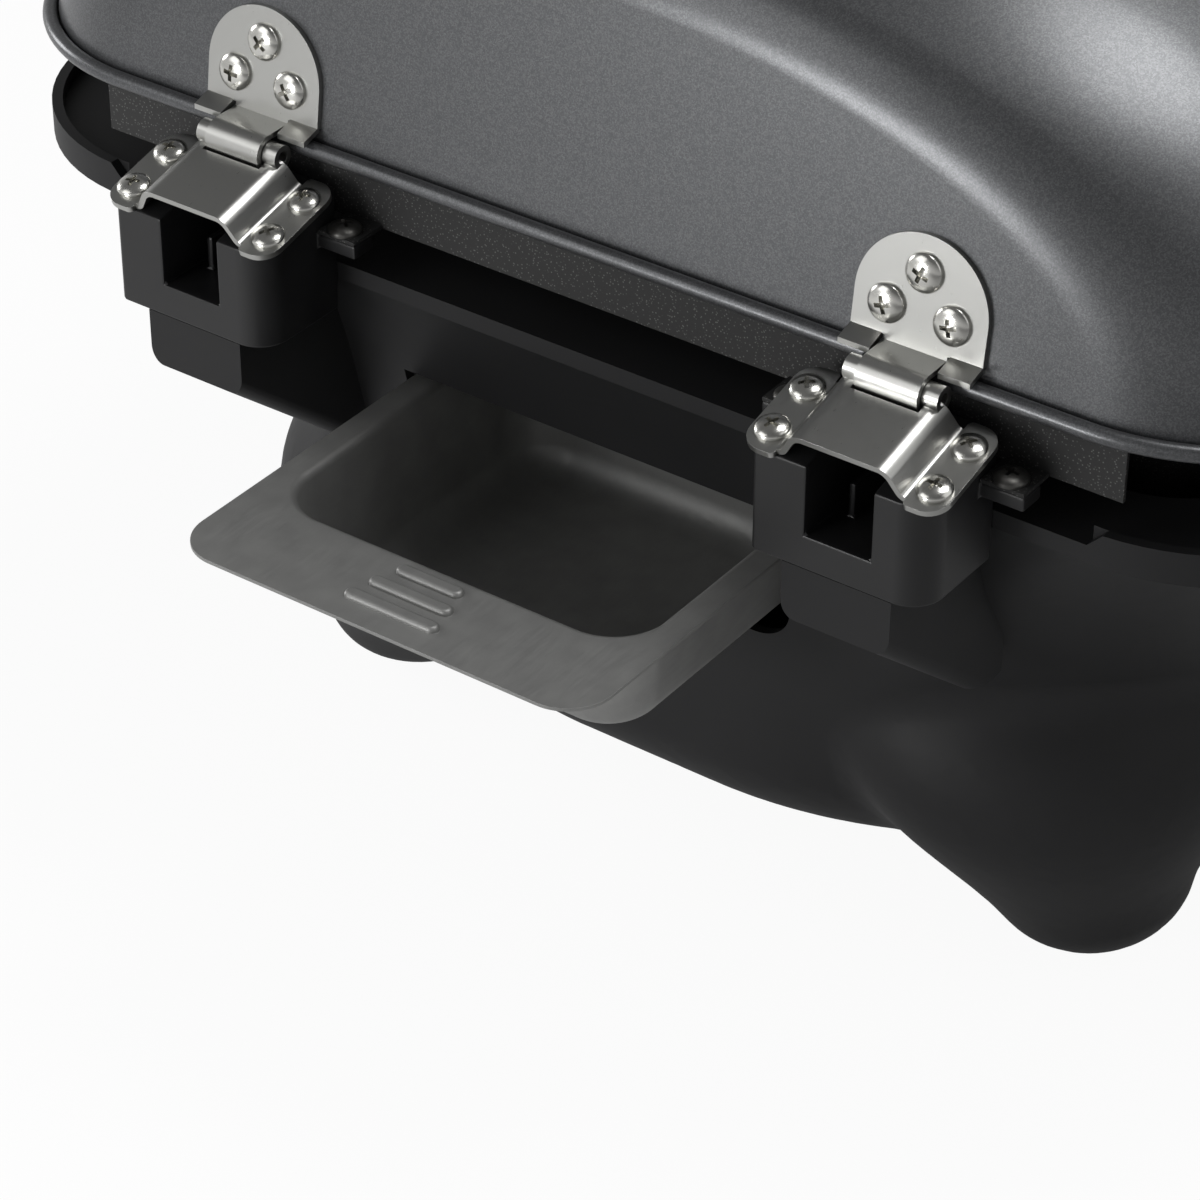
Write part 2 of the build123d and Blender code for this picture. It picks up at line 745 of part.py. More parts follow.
legs = [(x, y) for x in (-1, 1) for y in (-1, 1)]
slot_plane = Plane(origin=(0, lid_y, 0), x_dir=(-1, 0, 0), z_dir=(0, 1, 0))
notch_plane = Plane(origin=(0, lid_y + rim_half_depth, deck_top), x_dir=(-1, 0, 0), z_dir=(0, 1, 0))
notch_half = lid_width / 2 - rear_notch_inset
bowl_skin = bowl_form(0)
with BuildPart() as base_shell:
    add(bowl_skin)
    for x, y in legs:
        leg_skin = leg_form(x, y, 0, pad_show)
        add(leg_skin)
        seam = [edge for edge in base_shell.edges() if lies_on(edge, bowl_skin) and lies_on(edge, leg_skin)]
        fillet(seam, leg_blend)
    for hinge_x in hinge_sides.values():
        add(corbel_form(hinge_x))
    with BuildSketch(fascia_plane):
        RectangleRounded(pod_width, pod_height, pod_corner)
    extrude(amount=-pod_depth)
    add(bowl_form(base_wall), mode=Mode.SUBTRACT)
    for x, y in legs:
        add(leg_form(x, y, base_wall, pad_height + base_wall), mode=Mode.SUBTRACT)
    with BuildSketch(fascia_plane.offset(-base_wall)):
        RectangleRounded(pod_width - 2 * base_wall, pod_height - 2 * base_wall, pod_corner - base_wall)
    extrude(amount=base_wall - pod_depth, mode=Mode.SUBTRACT)
    extrude(outline(rim_bottom, rim_half_width, rim_half_depth, rim_corner), amount=rim_band)
    extrude(
        outline(deck_top, rim_half_width - base_wall, rim_half_depth - base_wall, rim_corner - base_wall),
        amount=rear_notch,
        mode=Mode.SUBTRACT,
    )
    extrude(
        outline(rim_bottom, lid_width / 2 - deck_side, lid_depth / 2 - deck_end, deck_corner),
        amount=rim_band,
        mode=Mode.SUBTRACT,
    )
    with BuildSketch(notch_plane):
        with BuildLine():
            Polyline(
                (-notch_half, 0),
                (notch_half, 0),
                (notch_half + rear_notch, rear_notch),
                (-notch_half - rear_notch, rear_notch),
                close=True,
            )
        make_face()
    extrude(amount=base_wall, both=True, mode=Mode.SUBTRACT)
    with BuildSketch(Plane.XY.offset(rim_bottom)):
        for x, y in ear_points[::2]:
            with Locations((x, lid_y - rim_half_depth + base_wall)):
                Rectangle(ear_width, ear_depth + base_wall, align=(Align.CENTER, Align.MAX))
    extrude(amount=band_bottom - rim_bottom)
    with BuildSketch(Plane.XY.offset(band_bottom)):
        for x, y in ear_points[::2]:
            with Locations((x, lid_y + y)):
                Circle(plate_screw_radius + screw_clearance)
    extrude(amount=-ear_thickness, mode=Mode.SUBTRACT)
    with BuildSketch(slot_plane) as tray_slot:
        with BuildLine():
            Polyline(
                (-slot_half, slot_top),
                (slot_half, slot_top),
                (slot_half, slot_step),
                (pan_half + slot_side_gap, slot_step),
                (pan_half - pan_draft + slot_side_gap, slot_floor),
                (pan_draft - pan_half - slot_side_gap, slot_floor),
                (-pan_half - slot_side_gap, slot_step),
                (-slot_half, slot_step),
                close=True,
            )
        make_face()
        fillet(tray_slot.vertices().group_by(Axis.Y)[0], slot_corner)
    extrude(amount=lid_depth, mode=Mode.SUBTRACT)
    with BuildSketch(fascia_plane):
        Rectangle(fascia_width - 2 * fascia_opening_border, fascia_height - 2 * fascia_opening_border)
        with Locations(*fascia_screw_points):
            Circle(rail_screw_radius + screw_clearance)
    extrude(amount=-base_wall, mode=Mode.SUBTRACT)
    with BuildSketch(Plane.XY.offset(pod_bottom)):
        with Locations((-inlet_offset, inlet_y)):
            Rectangle(inlet_width + 2 * inlet_clearance, inlet_depth + 2 * inlet_clearance)
    extrude(amount=base_wall, mode=Mode.SUBTRACT)
    with BuildSketch(Plane.XY.offset(bowl_floor_height)):
        with Locations((0, lid_y)):
            with GridLocations(vent_pitch, 1, vent_count, 1):
                SlotOverall(vent_length, vent_width, rotation=90)
    extrude(amount=base_wall, mode=Mode.SUBTRACT)
    with BuildSketch(Plane.XY.offset(pad_show)):
        with Locations(*foot_points):
            Circle(pad_radius + pad_clearance)
    extrude(amount=pad_height - pad_show, mode=Mode.SUBTRACT)
base_shell.part.label = "base_shell"
export_step(base_shell.part, "parts/base_shell.step")

# Foot pads: soft discs let into the underside of the feet
with BuildPart() as foot_pads:
    with BuildSketch():
        with Locations(*foot_points):
            Circle(pad_radius)
    extrude(amount=pad_height)
foot_pads.part.label = "foot_pads"
export_step(foot_pads.part, "parts/foot_pads.step")


def tub_form(inset):
    """The firebox's tapering tub, drawn in by an inset for its inside."""
    with BuildPart() as tub:
        loft([
            outline(flange_top, tub_width / 2 - inset, tub_depth / 2 - inset, tub_corner - inset),
            outline(tub_floor + inset, tub_width / 2 - tub_taper - inset, tub_depth / 2 - tub_taper - inset,
                    tub_corner - inset),
        ])
        fillet(tub.faces().sort_by(Axis.Z)[0].edges(), tub_fillet - inset)
    return tub.part


# Firebox: rim flange, tub and four turned-down bands, the rear and front ones with screw tabs
flange_half_width = lid_width / 2 - flange_inset
flange_half_depth = lid_depth / 2 - flange_inset
with BuildPart() as firebox:
    extrude(
        outline(flange_top, flange_half_width, flange_half_depth, lid_corner - flange_inset),
        amount=-firebox_sheet,
    )
    add(tub_form(0))
    add(tub_form(firebox_sheet), mode=Mode.SUBTRACT)
    with BuildSketch(Plane.XY.offset(flange_top)):
        with Locations((0, lid_y)):
            with GridLocations(1, 2 * flange_half_depth - firebox_sheet, 1, 2):
                Rectangle(lid_width - 2 * band_inset, firebox_sheet)
            with GridLocations(2 * flange_half_width - firebox_sheet, 1, 2, 1):
                Rectangle(firebox_sheet, lid_depth - 2 * band_side_inset)
    extrude(amount=-band_drop)
    with BuildSketch(Plane.XY.offset(band_bottom)):
        for x, y in ear_points:
            end = 1 if y > 0 else -1
            tab_reach = rim_half_depth + ear_depth - flange_half_depth + firebox_sheet
            with Locations((x, lid_y + end * (flange_half_depth - firebox_sheet + tab_reach / 2))):
                Rectangle(tab_width, tab_reach)
            with Locations((x, lid_y + y)):
                Circle(plate_screw_radius + screw_clearance, mode=Mode.SUBTRACT)
    extrude(amount=firebox_sheet)
    with BuildSketch(Plane.XY.offset(tub_floor)):
        with Locations((0, lid_y + tub_depth / 2 - drain_back)):
            Circle(drain_radius)
        with Locations(*rail_screw_points):
            Circle(rail_screw_radius + screw_clearance)
    extrude(amount=firebox_sheet, mode=Mode.SUBTRACT)
    with BuildSketch(Plane(origin=(0, lid_y, element_z), x_dir=(1, 0, 0), z_dir=(0, -1, 0))):
        with GridLocations(2 * element_terminal_x, 1, 2, 1):
            Circle(element_radius + element_hole_gap)
    extrude(amount=tub_depth / 2, mode=Mode.SUBTRACT)
firebox.part.label = "firebox"
export_step(firebox.part, "parts/firebox.step")

# Screws that hold the firebox tabs down on the hinge blocks and the front posts
firebox_screw = pan_screw(
    plate_head_radius, plate_head_height, plate_screw_radius, firebox_sheet + ear_thickness
)
with BuildPart() as firebox_screws:
    with Locations(Plane.XY.offset(band_bottom + firebox_sheet)):
        with Locations(*[(x, lid_y + y) for x, y in ear_points]):
            add(firebox_screw)
firebox_screws.part.label = "firebox_screws"
export_step(firebox_screws.part, "parts/firebox_screws.step")

# Cooking grate: a cast plate with two rows of slots, carried on four rests in the tub
grate_bottom = flange_top - grate_below_rim - grate_thickness
grate_slot_length = grate_depth / 2 - grate_border - grate_cross / 2
grate_slots = int((grate_width - 2 * grate_border - grate_slot) / grate_pitch) + 1
with BuildPart() as cooking_grate:
    extrude(outline(grate_bottom, grate_width / 2, grate_depth / 2, grate_corner), amount=grate_thickness)
    fillet(cooking_grate.faces().sort_by(Axis.Z)[-1].edges(), grate_edge)
    with BuildSketch(Plane.XY.offset(grate_bottom)):
        with Locations((0, lid_y)):
            with GridLocations(grate_pitch, grate_slot_length + grate_cross, grate_slots, 2):
                SlotOverall(grate_slot_length, grate_slot, rotation=90)
    extrude(amount=grate_thickness, mode=Mode.SUBTRACT)
cooking_grate.part.label = "cooking_grate"
export_step(cooking_grate.part, "parts/cooking_grate.step")

with BuildPart() as grate_rests:
    with BuildSketch(Plane.XY.offset(grate_bottom)):
        with Locations((0, lid_y)):
            with GridLocations(tub_width - 2 * rest_length, grate_depth - 2 * rest_inset, 2, 2):
                Rectangle(2 * rest_length, rest_width)
    extrude(amount=-rest_height)
    add(tub_form(firebox_sheet), mode=Mode.INTERSECT)
grate_rests.part.label = "grate_rests"
export_step(grate_rests.part, "parts/grate_rests.step")

# Heating element: one bent tube with both ends out through the front of the tub
element_half_width = tub_width / 2 - element_side_gap
element_half_depth = tub_depth / 2 - element_end_gap
element_half = [
    (element_terminal_x, -tub_depth / 2 - element_reach),
    (element_terminal_x, -element_half_depth),
    (element_half_width, -element_half_depth),
    (element_half_width, element_half_depth),
    (element_inner_x, element_half_depth),
    (element_inner_x, element_inner_gap - element_half_depth),
]
element_points = element_half + [(-x, y) for x, y in reversed(element_half)]
with BuildPart() as heating_element:
    with BuildLine(Plane.XY.offset(element_z)) as element_path:
        FilletPolyline(*[(x, lid_y + y) for x, y in element_points], radius=element_bend)
    with BuildSketch(Plane(origin=element_path.line @ 0, z_dir=element_path.line % 0)):
        Circle(element_radius)
    sweep()
heating_element.part.label = "heating_element"
export_step(heating_element.part, "parts/heating_element.step")

saddle_rise = element_z - tub_floor - firebox_sheet
with BuildPart() as element_saddles:
    for x in (-element_half_width, -element_inner_x, element_inner_x, element_half_width):
        saddle_foot = (x, lid_y, tub_floor + firebox_sheet)
        with BuildSketch(Plane(origin=saddle_foot, x_dir=(1, 0, 0), z_dir=(0, -1, 0))):
            Rectangle(saddle_width, saddle_rise, align=(Align.CENTER, Align.MIN))
            with Locations((0, saddle_rise)):
                Circle(element_radius + saddle_clearance, mode=Mode.SUBTRACT)
        extrude(amount=saddle_depth / 2, both=True)
element_saddles.part.label = "element_saddles"
export_step(element_saddles.part, "parts/element_saddles.step")

# Terminal block under the deck, where the ends of the element meet the wiring
terminal_plane = Plane(
    origin=(0, lid_y - tub_depth / 2 - terminal_lead, rim_bottom - terminal_height),
    x_dir=(1, 0, 0),
    z_dir=(0, -1, 0),
)
with BuildPart() as terminal_block:
    with BuildSketch(terminal_plane):
        Rectangle(terminal_width, terminal_height, align=(Align.CENTER, Align.MIN))
    extrude(amount=terminal_depth)
    with BuildSketch(terminal_plane):
        with Locations((0, element_z - terminal_plane.origin.Z)):
            with GridLocations(2 * element_terminal_x, 1, 2, 1):
                Circle(element_radius + saddle_clearance)
    extrude(amount=element_reach - terminal_lead + saddle_clearance, mode=Mode.SUBTRACT)
terminal_block.part.label = "terminal_block"
export_step(terminal_block.part, "parts/terminal_block.step")

# Tray rails: folded sheet hung under the tub, with a shelf below each side flange of the tray
shelf_top = tray_top - tray_sheet - rail_clearance
rail_plane = Plane(origin=(0, lid_rear - rail_start, 0), x_dir=(1, 0, 0), z_dir=(0, -1, 0))
for side, hinge_x in hinge_sides.items():
    hand = 1 if hinge_x > 0 else -1
    with BuildPart() as tray_rail:
        with BuildSketch(rail_plane):
            with BuildLine():
                Polyline(
                    (hand * (rail_inner - rail_shelf), shelf_top),
                    (hand * rail_inner, shelf_top),
                    (hand * rail_inner, tub_floor),
                    (hand * (rail_inner + rail_sheet), tub_floor),
                    (hand * (rail_inner + rail_sheet), shelf_top - rail_sheet),
                    (hand * (rail_inner - rail_shelf), shelf_top - rail_sheet),
                    close=True,
                )
            make_face()
        extrude(amount=rail_length)
        with BuildSketch(Plane.XY.offset(tub_floor)):
            flange_x = hand * (rail_inner + rail_sheet + rail_flange / 2)
            with Locations((flange_x, lid_rear - rail_flange_start)):
                Rectangle(rail_flange, rail_flange_length, align=(Align.CENTER, Align.MAX))
            with Locations(*rail_screw_points):
                Circle(rail_screw_radius + screw_clearance, mode=Mode.SUBTRACT)
        extrude(amount=-rail_sheet)
    tray_rail.part.label = f"tray_rail_{side}"
    export_step(tray_rail.part, f"parts/tray_rail_{side}.step")

rail_screw = pan_screw(
    rail_head_radius, rail_head_height, rail_screw_radius, firebox_sheet + rail_sheet + rail_screw_end
)
with BuildPart() as rail_screws:
    with Locations(Plane.XY.offset(tub_floor + firebox_sheet)):
        with Locations(*rail_screw_points):
            add(rail_screw)
rail_screws.part.label = "rail_screws"
export_step(rail_screws.part, "parts/rail_screws.step")

# Drip tray: pressed pan with a flange all round, a wide front lip and three embossed ribs
pan_length = tray_length - tray_lip - tray_back_lip
pan_y = tray_front - tray_lip - pan_length / 2


def pan_form(inset):
    """The tray's drafted pan, drawn in by an inset for its inside."""
    with BuildPart() as pan:
        for height, draft in ((tray_top, 0), (tray_top - pan_depth + inset, pan_draft)):
            with BuildSketch(Plane.XY.offset(height)):
                with Locations((0, pan_y)):
                    RectangleRounded(
                        2 * (pan_half - draft - inset), pan_length - 2 * (draft + inset), pan_corner - inset
                    )
        loft()
        fillet(pan.faces().sort_by(Axis.Z)[0].edges(), pan_fillet - inset)
    return pan.part


def rib_form(length, width, rise, rounding):
    """One stiffening rib, or the hollow under it, standing on the tray's underside."""
    with BuildPart() as rib:
        with BuildSketch(Plane.XY):
            SlotOverall(length, width)
        extrude(amount=rise)
        if rounding:
            fillet(rib.faces().sort_by(Axis.Z)[-1].edges(), rounding)
    return rib.part


with BuildPart() as drip_tray:
    with BuildSketch(Plane.XY.offset(tray_top)):
        with Locations((0, tray_front - tray_length / 2)):
            RectangleRounded(tray_width, tray_length, tray_corner)
    extrude(amount=-tray_sheet)
    add(pan_form(0))
    add(pan_form(tray_sheet), mode=Mode.SUBTRACT)
    fillet(drip_tray.faces().sort_by(Axis.Z)[-1].inner_wires()[0].edges(), pan_rim)
    for row, rib_length in enumerate(rib_lengths):
        with Locations((0, tray_front - rib_first - row * rib_pitch, tray_top - tray_sheet)):
            add(rib_form(rib_length, rib_width, tray_sheet + rib_rise, rib_round))
            rib_hollow = rib_form(rib_length - 2 * tray_sheet, rib_width - 2 * tray_sheet, rib_rise, 0)
            add(rib_hollow, mode=Mode.SUBTRACT)
drip_tray.part.label = "drip_tray"
export_step(drip_tray.part, "parts/drip_tray.step")

# Controls: fascia on the pod, thermostat behind it, knob and shaft in front, lens to one side
with BuildPart() as control_fascia:
    with BuildSketch(fascia_plane):
        RectangleRounded(fascia_width, fascia_height, fascia_corner)
        Circle(shaft_radius + shaft_hole_gap, mode=Mode.SUBTRACT)
        with Locations((lens_offset, 0)):
            Circle(lens_radius + inlet_clearance, mode=Mode.SUBTRACT)
        with Locations(*fascia_screw_points):
            Circle(rail_screw_radius + screw_clearance, mode=Mode.SUBTRACT)
    extrude(amount=fascia_thickness)
control_fascia.part.label = "control_fascia"
export_step(control_fascia.part, "parts/control_fascia.step")

fascia_screw = pan_screw(rail_head_radius, rail_head_height, rail_screw_radius, fascia_thickness + base_wall)
with BuildPart() as fascia_screws:
    with Locations(fascia_plane.offset(fascia_thickness)):
        with Locations(*fascia_screw_points):
            add(fascia_screw)
fascia_screws.part.label = "fascia_screws"
export_step(fascia_screws.part, "parts/fascia_screws.step")

with BuildPart() as thermostat:
    with BuildSketch(fascia_plane):
        Rectangle(thermostat_width, thermostat_height)
    extrude(amount=-thermostat_depth)
    with BuildSketch(fascia_plane):
        Circle(shaft_radius + shaft_clearance)
    extrude(amount=-shaft_sink - shaft_end_gap, mode=Mode.SUBTRACT)
thermostat.part.label = "thermostat"
export_step(thermostat.part, "parts/thermostat.step")

knob_back = fascia_plane.offset(fascia_thickness + knob_gap)
shaft_length = shaft_sink + fascia_thickness + knob_gap + knob_depth / 2
with BuildPart() as control_shaft:
    with BuildSketch(fascia_plane.offset(-shaft_sink)):
        Circle(shaft_radius)
    extrude(amount=shaft_length)
control_shaft.part.label = "control_shaft"
export_step(control_shaft.part, "parts/control_shaft.step")

with BuildPart() as control_knob:
    with BuildSketch(knob_back):
        Circle(knob_radius)
    extrude(amount=knob_depth)
    knob_face = control_knob.faces().sort_by(Axis.Y)[0]
    fillet(knob_face.edges(), knob_fillet)
    with BuildSketch(knob_back):
        with PolarLocations(knob_radius + knob_flute_radius / 2, knob_flutes):
            Circle(knob_flute_radius)
    extrude(amount=knob_depth, mode=Mode.SUBTRACT)
    with BuildSketch(knob_back.offset(knob_depth)):
        Rectangle(knob_pointer, knob_radius - knob_fillet, align=(Align.CENTER, Align.MIN))
    extrude(amount=-knob_pointer / 2, mode=Mode.SUBTRACT)
    with BuildSketch(knob_back):
        Circle(shaft_radius + shaft_clearance)
    extrude(amount=knob_depth / 2, mode=Mode.SUBTRACT)
control_knob.part.label = "control_knob"
export_step(control_knob.part, "parts/control_knob.step")

with BuildPart() as indicator_lens:
    with BuildSketch(fascia_plane):
        with Locations((lens_offset, 0)):
            Circle(lens_radius)
    extrude(amount=fascia_thickness + lens_flange)
    fillet(indicator_lens.edges().sort_by(Axis.Y)[0], lens_round)
    with BuildSketch(fascia_plane):
        with Locations((lens_offset, 0)):
            Circle(lens_radius + lens_flange)
    extrude(amount=-lens_flange)
indicator_lens.part.label = "indicator_lens"
export_step(indicator_lens.part, "parts/indicator_lens.step")

# Power inlet under the pod: a flanged socket with three pins, open downwards
inlet_plane = Plane(origin=(-inlet_offset, inlet_y, pod_bottom), x_dir=(1, 0, 0), z_dir=(0, 0, -1))
with BuildPart() as power_inlet:
    with BuildSketch(inlet_plane):
        Rectangle(inlet_width + 2 * inlet_flange, inlet_depth + 2 * inlet_flange)
    extrude(amount=inlet_wall)
    with BuildSketch(inlet_plane):
        Rectangle(inlet_width, inlet_depth)
    extrude(amount=-inlet_height)
    with BuildSketch(inlet_plane.offset(inlet_wall)):
        Rectangle(inlet_width - 2 * inlet_wall, inlet_depth - 2 * inlet_wall)
    extrude(amount=-inlet_height, mode=Mode.SUBTRACT)
    with BuildSketch(inlet_plane.offset(inlet_wall - inlet_height)):
        with Locations((-inlet_pin_pitch, 0), (0, inlet_pin_pitch / 2), (inlet_pin_pitch, 0)):
            Rectangle(inlet_pin, 2 * inlet_pin)
    extrude(amount=inlet_height - 2 * inlet_wall)
power_inlet.part.label = "power_inlet"
export_step(power_inlet.part, "parts/power_inlet.step")
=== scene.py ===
import json
from math import cos, pi, radians, sin, sqrt

import bpy
from mathutils import Matrix, Quaternion, Vector

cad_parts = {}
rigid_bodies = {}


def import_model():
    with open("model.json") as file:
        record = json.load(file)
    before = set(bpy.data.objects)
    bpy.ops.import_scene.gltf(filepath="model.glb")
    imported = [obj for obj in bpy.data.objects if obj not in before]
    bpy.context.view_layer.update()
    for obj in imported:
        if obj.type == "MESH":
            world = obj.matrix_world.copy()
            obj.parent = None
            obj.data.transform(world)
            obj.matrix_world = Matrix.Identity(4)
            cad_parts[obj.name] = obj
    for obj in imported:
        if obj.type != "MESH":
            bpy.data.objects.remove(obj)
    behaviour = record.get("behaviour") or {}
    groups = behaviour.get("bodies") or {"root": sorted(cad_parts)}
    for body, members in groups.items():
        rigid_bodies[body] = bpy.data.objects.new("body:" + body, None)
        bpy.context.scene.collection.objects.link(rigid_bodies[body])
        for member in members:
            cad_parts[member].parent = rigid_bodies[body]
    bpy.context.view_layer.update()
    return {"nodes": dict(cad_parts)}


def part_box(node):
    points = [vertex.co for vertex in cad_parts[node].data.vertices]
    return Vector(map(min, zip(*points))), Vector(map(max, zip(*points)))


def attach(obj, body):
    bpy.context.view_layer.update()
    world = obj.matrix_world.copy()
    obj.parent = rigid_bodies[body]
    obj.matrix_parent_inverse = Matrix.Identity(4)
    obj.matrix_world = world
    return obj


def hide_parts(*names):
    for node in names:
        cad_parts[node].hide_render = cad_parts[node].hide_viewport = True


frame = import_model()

# Base shell: one black polypropylene moulding with a bowl, rim lip, corbels, front pod and four feet.
# It comes out of a spark-eroded tool, so its skin has a fine satin grain and its edges are a little round.
mm = 0.001
merge_distance = 0.001 * mm
flat_angle = radians(0.3)
sharp_angle = radians(32)
edge_steps = 2
base_edge = 0.7 * mm
base_grain = 0.9 * mm
base_grain_depth = 0.1 * mm
base_mottle = 30 * mm

# A colour mix has several sockets of one name, so its sockets are picked by number
mix_share = 0
mix_dark = 6
mix_pale = 7
mix_colour = 2


def linear(code):
    """Turn an sRGB hex code into a linear colour."""
    shares = [int(code[place:place + 2], 16) / 255 for place in (0, 2, 4)]
    return [s / 12.92 if s <= 0.04045 else ((s + 0.055) / 1.055) ** 2.4 for s in shares] + [1.0]


def new_material(name):
    """An empty node material."""
    material = bpy.data.materials.new(name)
    material.use_nodes = True
    material.node_tree.nodes.clear()
    return material


def add_node(owner, kind, sockets=None, **settings):
    """Add a node to a material or the world, then give each named socket a value or a link."""
    made = owner.node_tree.nodes.new(kind)
    for name, value in settings.items():
        setattr(made, name, value)
    for socket, value in (sockets or {}).items():
        if isinstance(value, bpy.types.NodeSocket):
            owner.node_tree.links.new(value, made.inputs[socket])
        else:
            made.inputs[socket].default_value = value
    return made


def merged_copy(node, name):
    """A new object with a merged copy of a node's mesh, active and selected alone."""
    bpy.ops.object.select_all(action="DESELECT")
    piece = bpy.data.objects.new(name, frame["nodes"][node].data.copy())
    bpy.context.scene.collection.objects.link(piece)
    bpy.context.view_layer.objects.active = piece
    piece.select_set(True)
    piece.data.materials.clear()
    bpy.ops.mesh.customdata_custom_splitnormals_clear()
    bpy.ops.object.mode_set(mode="EDIT")
    bpy.ops.mesh.select_all(action="SELECT")
    bpy.ops.mesh.remove_doubles(threshold=merge_distance)
    bpy.ops.object.mode_set(mode="OBJECT")
    return piece


def apply_modifier(piece, kind, **settings):
    """Add a modifier with its settings to the active piece and apply it."""
    modifier = piece.modifiers.new(kind.lower(), kind)
    for name, value in settings.items():
        setattr(modifier, name, value)
    bpy.ops.object.modifier_apply(modifier=modifier.name)


def even_shading(piece, angle):
    """Shade the active piece smooth over edges below an angle, with its large faces kept even."""
    bpy.ops.object.shade_smooth_by_angle(angle=angle)
    apply_modifier(piece, "WEIGHTED_NORMAL", keep_sharp=True)


def ease_edges(piece, edge):
    """Round the sharp edges of the active piece by a small bevel and even out its shading."""
    bpy.ops.object.mode_set(mode="EDIT")
    bpy.ops.mesh.select_all(action="SELECT")
    bpy.ops.mesh.dissolve_limited(angle_limit=flat_angle)
    bpy.ops.object.mode_set(mode="OBJECT")
    apply_modifier(
        piece, "BEVEL", width=edge, segments=edge_steps, limit_method="ANGLE", angle_limit=sharp_angle,
        loop_slide=False,
    )
    even_shading(piece, sharp_angle)


def eased_copy(node, name, edge):
    """A copy of a node whose sharp edges are rounded by a small bevel."""
    piece = merged_copy(node, name)
    ease_edges(piece, edge)
    return piece


def stand_for(piece, node, body, material):
    """Dress a piece, let it ride on a body and show it in place of a node."""
    piece.data.materials.clear()
    piece.data.materials.append(material)
    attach(piece, body)
    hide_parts(node)


def dress(node, material):
    """Give a node that stays as it is a finished material."""
    for slot in frame["nodes"][node].material_slots:
        slot.material = material


# Moulded polypropylene: near black and satin, with an even grain that breaks up the highlights.
# The grain is drawn coarser than a real one, so that it shows.
base_plastic = new_material("moulded_polypropylene")
place = add_node(base_plastic, "ShaderNodeTexCoord").outputs["Object"]
grain = add_node(
    base_plastic, "ShaderNodeTexNoise", {"Vector": place, "Scale": 1 / base_grain, "Detail": 3.0}
)
mottle = add_node(
    base_plastic, "ShaderNodeTexNoise", {"Vector": place, "Scale": 1 / base_mottle, "Detail": 4.0}
)
tone = add_node(
    base_plastic, "ShaderNodeMix",
    {mix_share: mottle.outputs["Fac"], mix_dark: linear("1b1b1c"), mix_pale: linear("212122")},
    data_type="RGBA",
)
gloss = add_node(
    base_plastic, "ShaderNodeMapRange", {"Value": mottle.outputs["Fac"], "To Min": 0.5, "To Max": 0.62}
)
skin = add_node(
    base_plastic, "ShaderNodeBump",
    {"Height": grain.outputs["Fac"], "Strength": 0.12, "Distance": base_grain_depth},
)
shader = add_node(
    base_plastic, "ShaderNodeBsdfPrincipled",
    {
        "Base Color": tone.outputs[mix_colour], "Roughness": gloss.outputs["Result"], "IOR": 1.49,
        "Specular IOR Level": 0.3, "Normal": skin.outputs["Normal"],
    },
)
add_node(base_plastic, "ShaderNodeOutputMaterial", {"Surface": shader.outputs["BSDF"]})

base_shell = eased_copy("base_shell", "base_shell_moulding", base_edge)
stand_for(base_shell, "base_shell", "base", base_plastic)

# Foot pads: four soft discs of vulcanised rubber, pressed into pockets under the feet.
# Their rims are rounded, and the rubber is dull and slightly dusty.
pad_edge = 0.8 * mm
pad_dust = 4 * mm
pad_dust_depth = 0.2 * mm

# Vulcanised rubber: dark and matt, with paler dusty patches and no clear highlight
rubber = new_material("vulcanised_rubber")
place = add_node(rubber, "ShaderNodeTexCoord").outputs["Object"]
dust = add_node(rubber, "ShaderNodeTexNoise", {"Vector": place, "Scale": 1 / pad_dust, "Detail": 5.0})
tone = add_node(
    rubber, "ShaderNodeMix",
    {mix_share: dust.outputs["Fac"], mix_dark: linear("171717"), mix_pale: linear("2b2b2a")},
    data_type="RGBA",
)
skin = add_node(
    rubber, "ShaderNodeBump", {"Height": dust.outputs["Fac"], "Strength": 0.2, "Distance": pad_dust_depth}
)
shader = add_node(
    rubber, "ShaderNodeBsdfPrincipled",
    {"Base Color": tone.outputs[mix_colour], "Roughness": 0.78, "Normal": skin.outputs["Normal"]},
)
add_node(rubber, "ShaderNodeOutputMaterial", {"Surface": shader.outputs["BSDF"]})

foot_pads = eased_copy("foot_pads", "foot_pad_discs", pad_edge)
stand_for(foot_pads, "foot_pads", "base", rubber)

# Hinge blocks: two boxes of glass-filled nylon that stand on the corbels, with an ear on either side.
# A ribbed slot behind the hook is open to the rear, and one rear corner is well rounded.
# They are moulded in a polished tool, so they are blacker and a little glossier than the base.
block_half = 24.6 * mm
block_edge = 0.8 * mm
block_round = 9 * mm
block_round_steps = 16
block_corner = 1.5 * mm
block_corner_steps = 4
block_slope = radians(14)
block_slot_width = 18.6 * mm
block_slot_depth = 26.5 * mm
block_slot_floor = 9.6 * mm
rib_width = 2 * mm
rib_place = block_slot_width / 4
rib_reach = block_slot_depth / 2
ear_overlap = 2 * mm
overcut = 1 * mm
near_by = 0.01 * mm
nylon_fibre = 0.7 * mm
nylon_fibre_depth = 0.1 * mm
nylon_bloom = 14 * mm

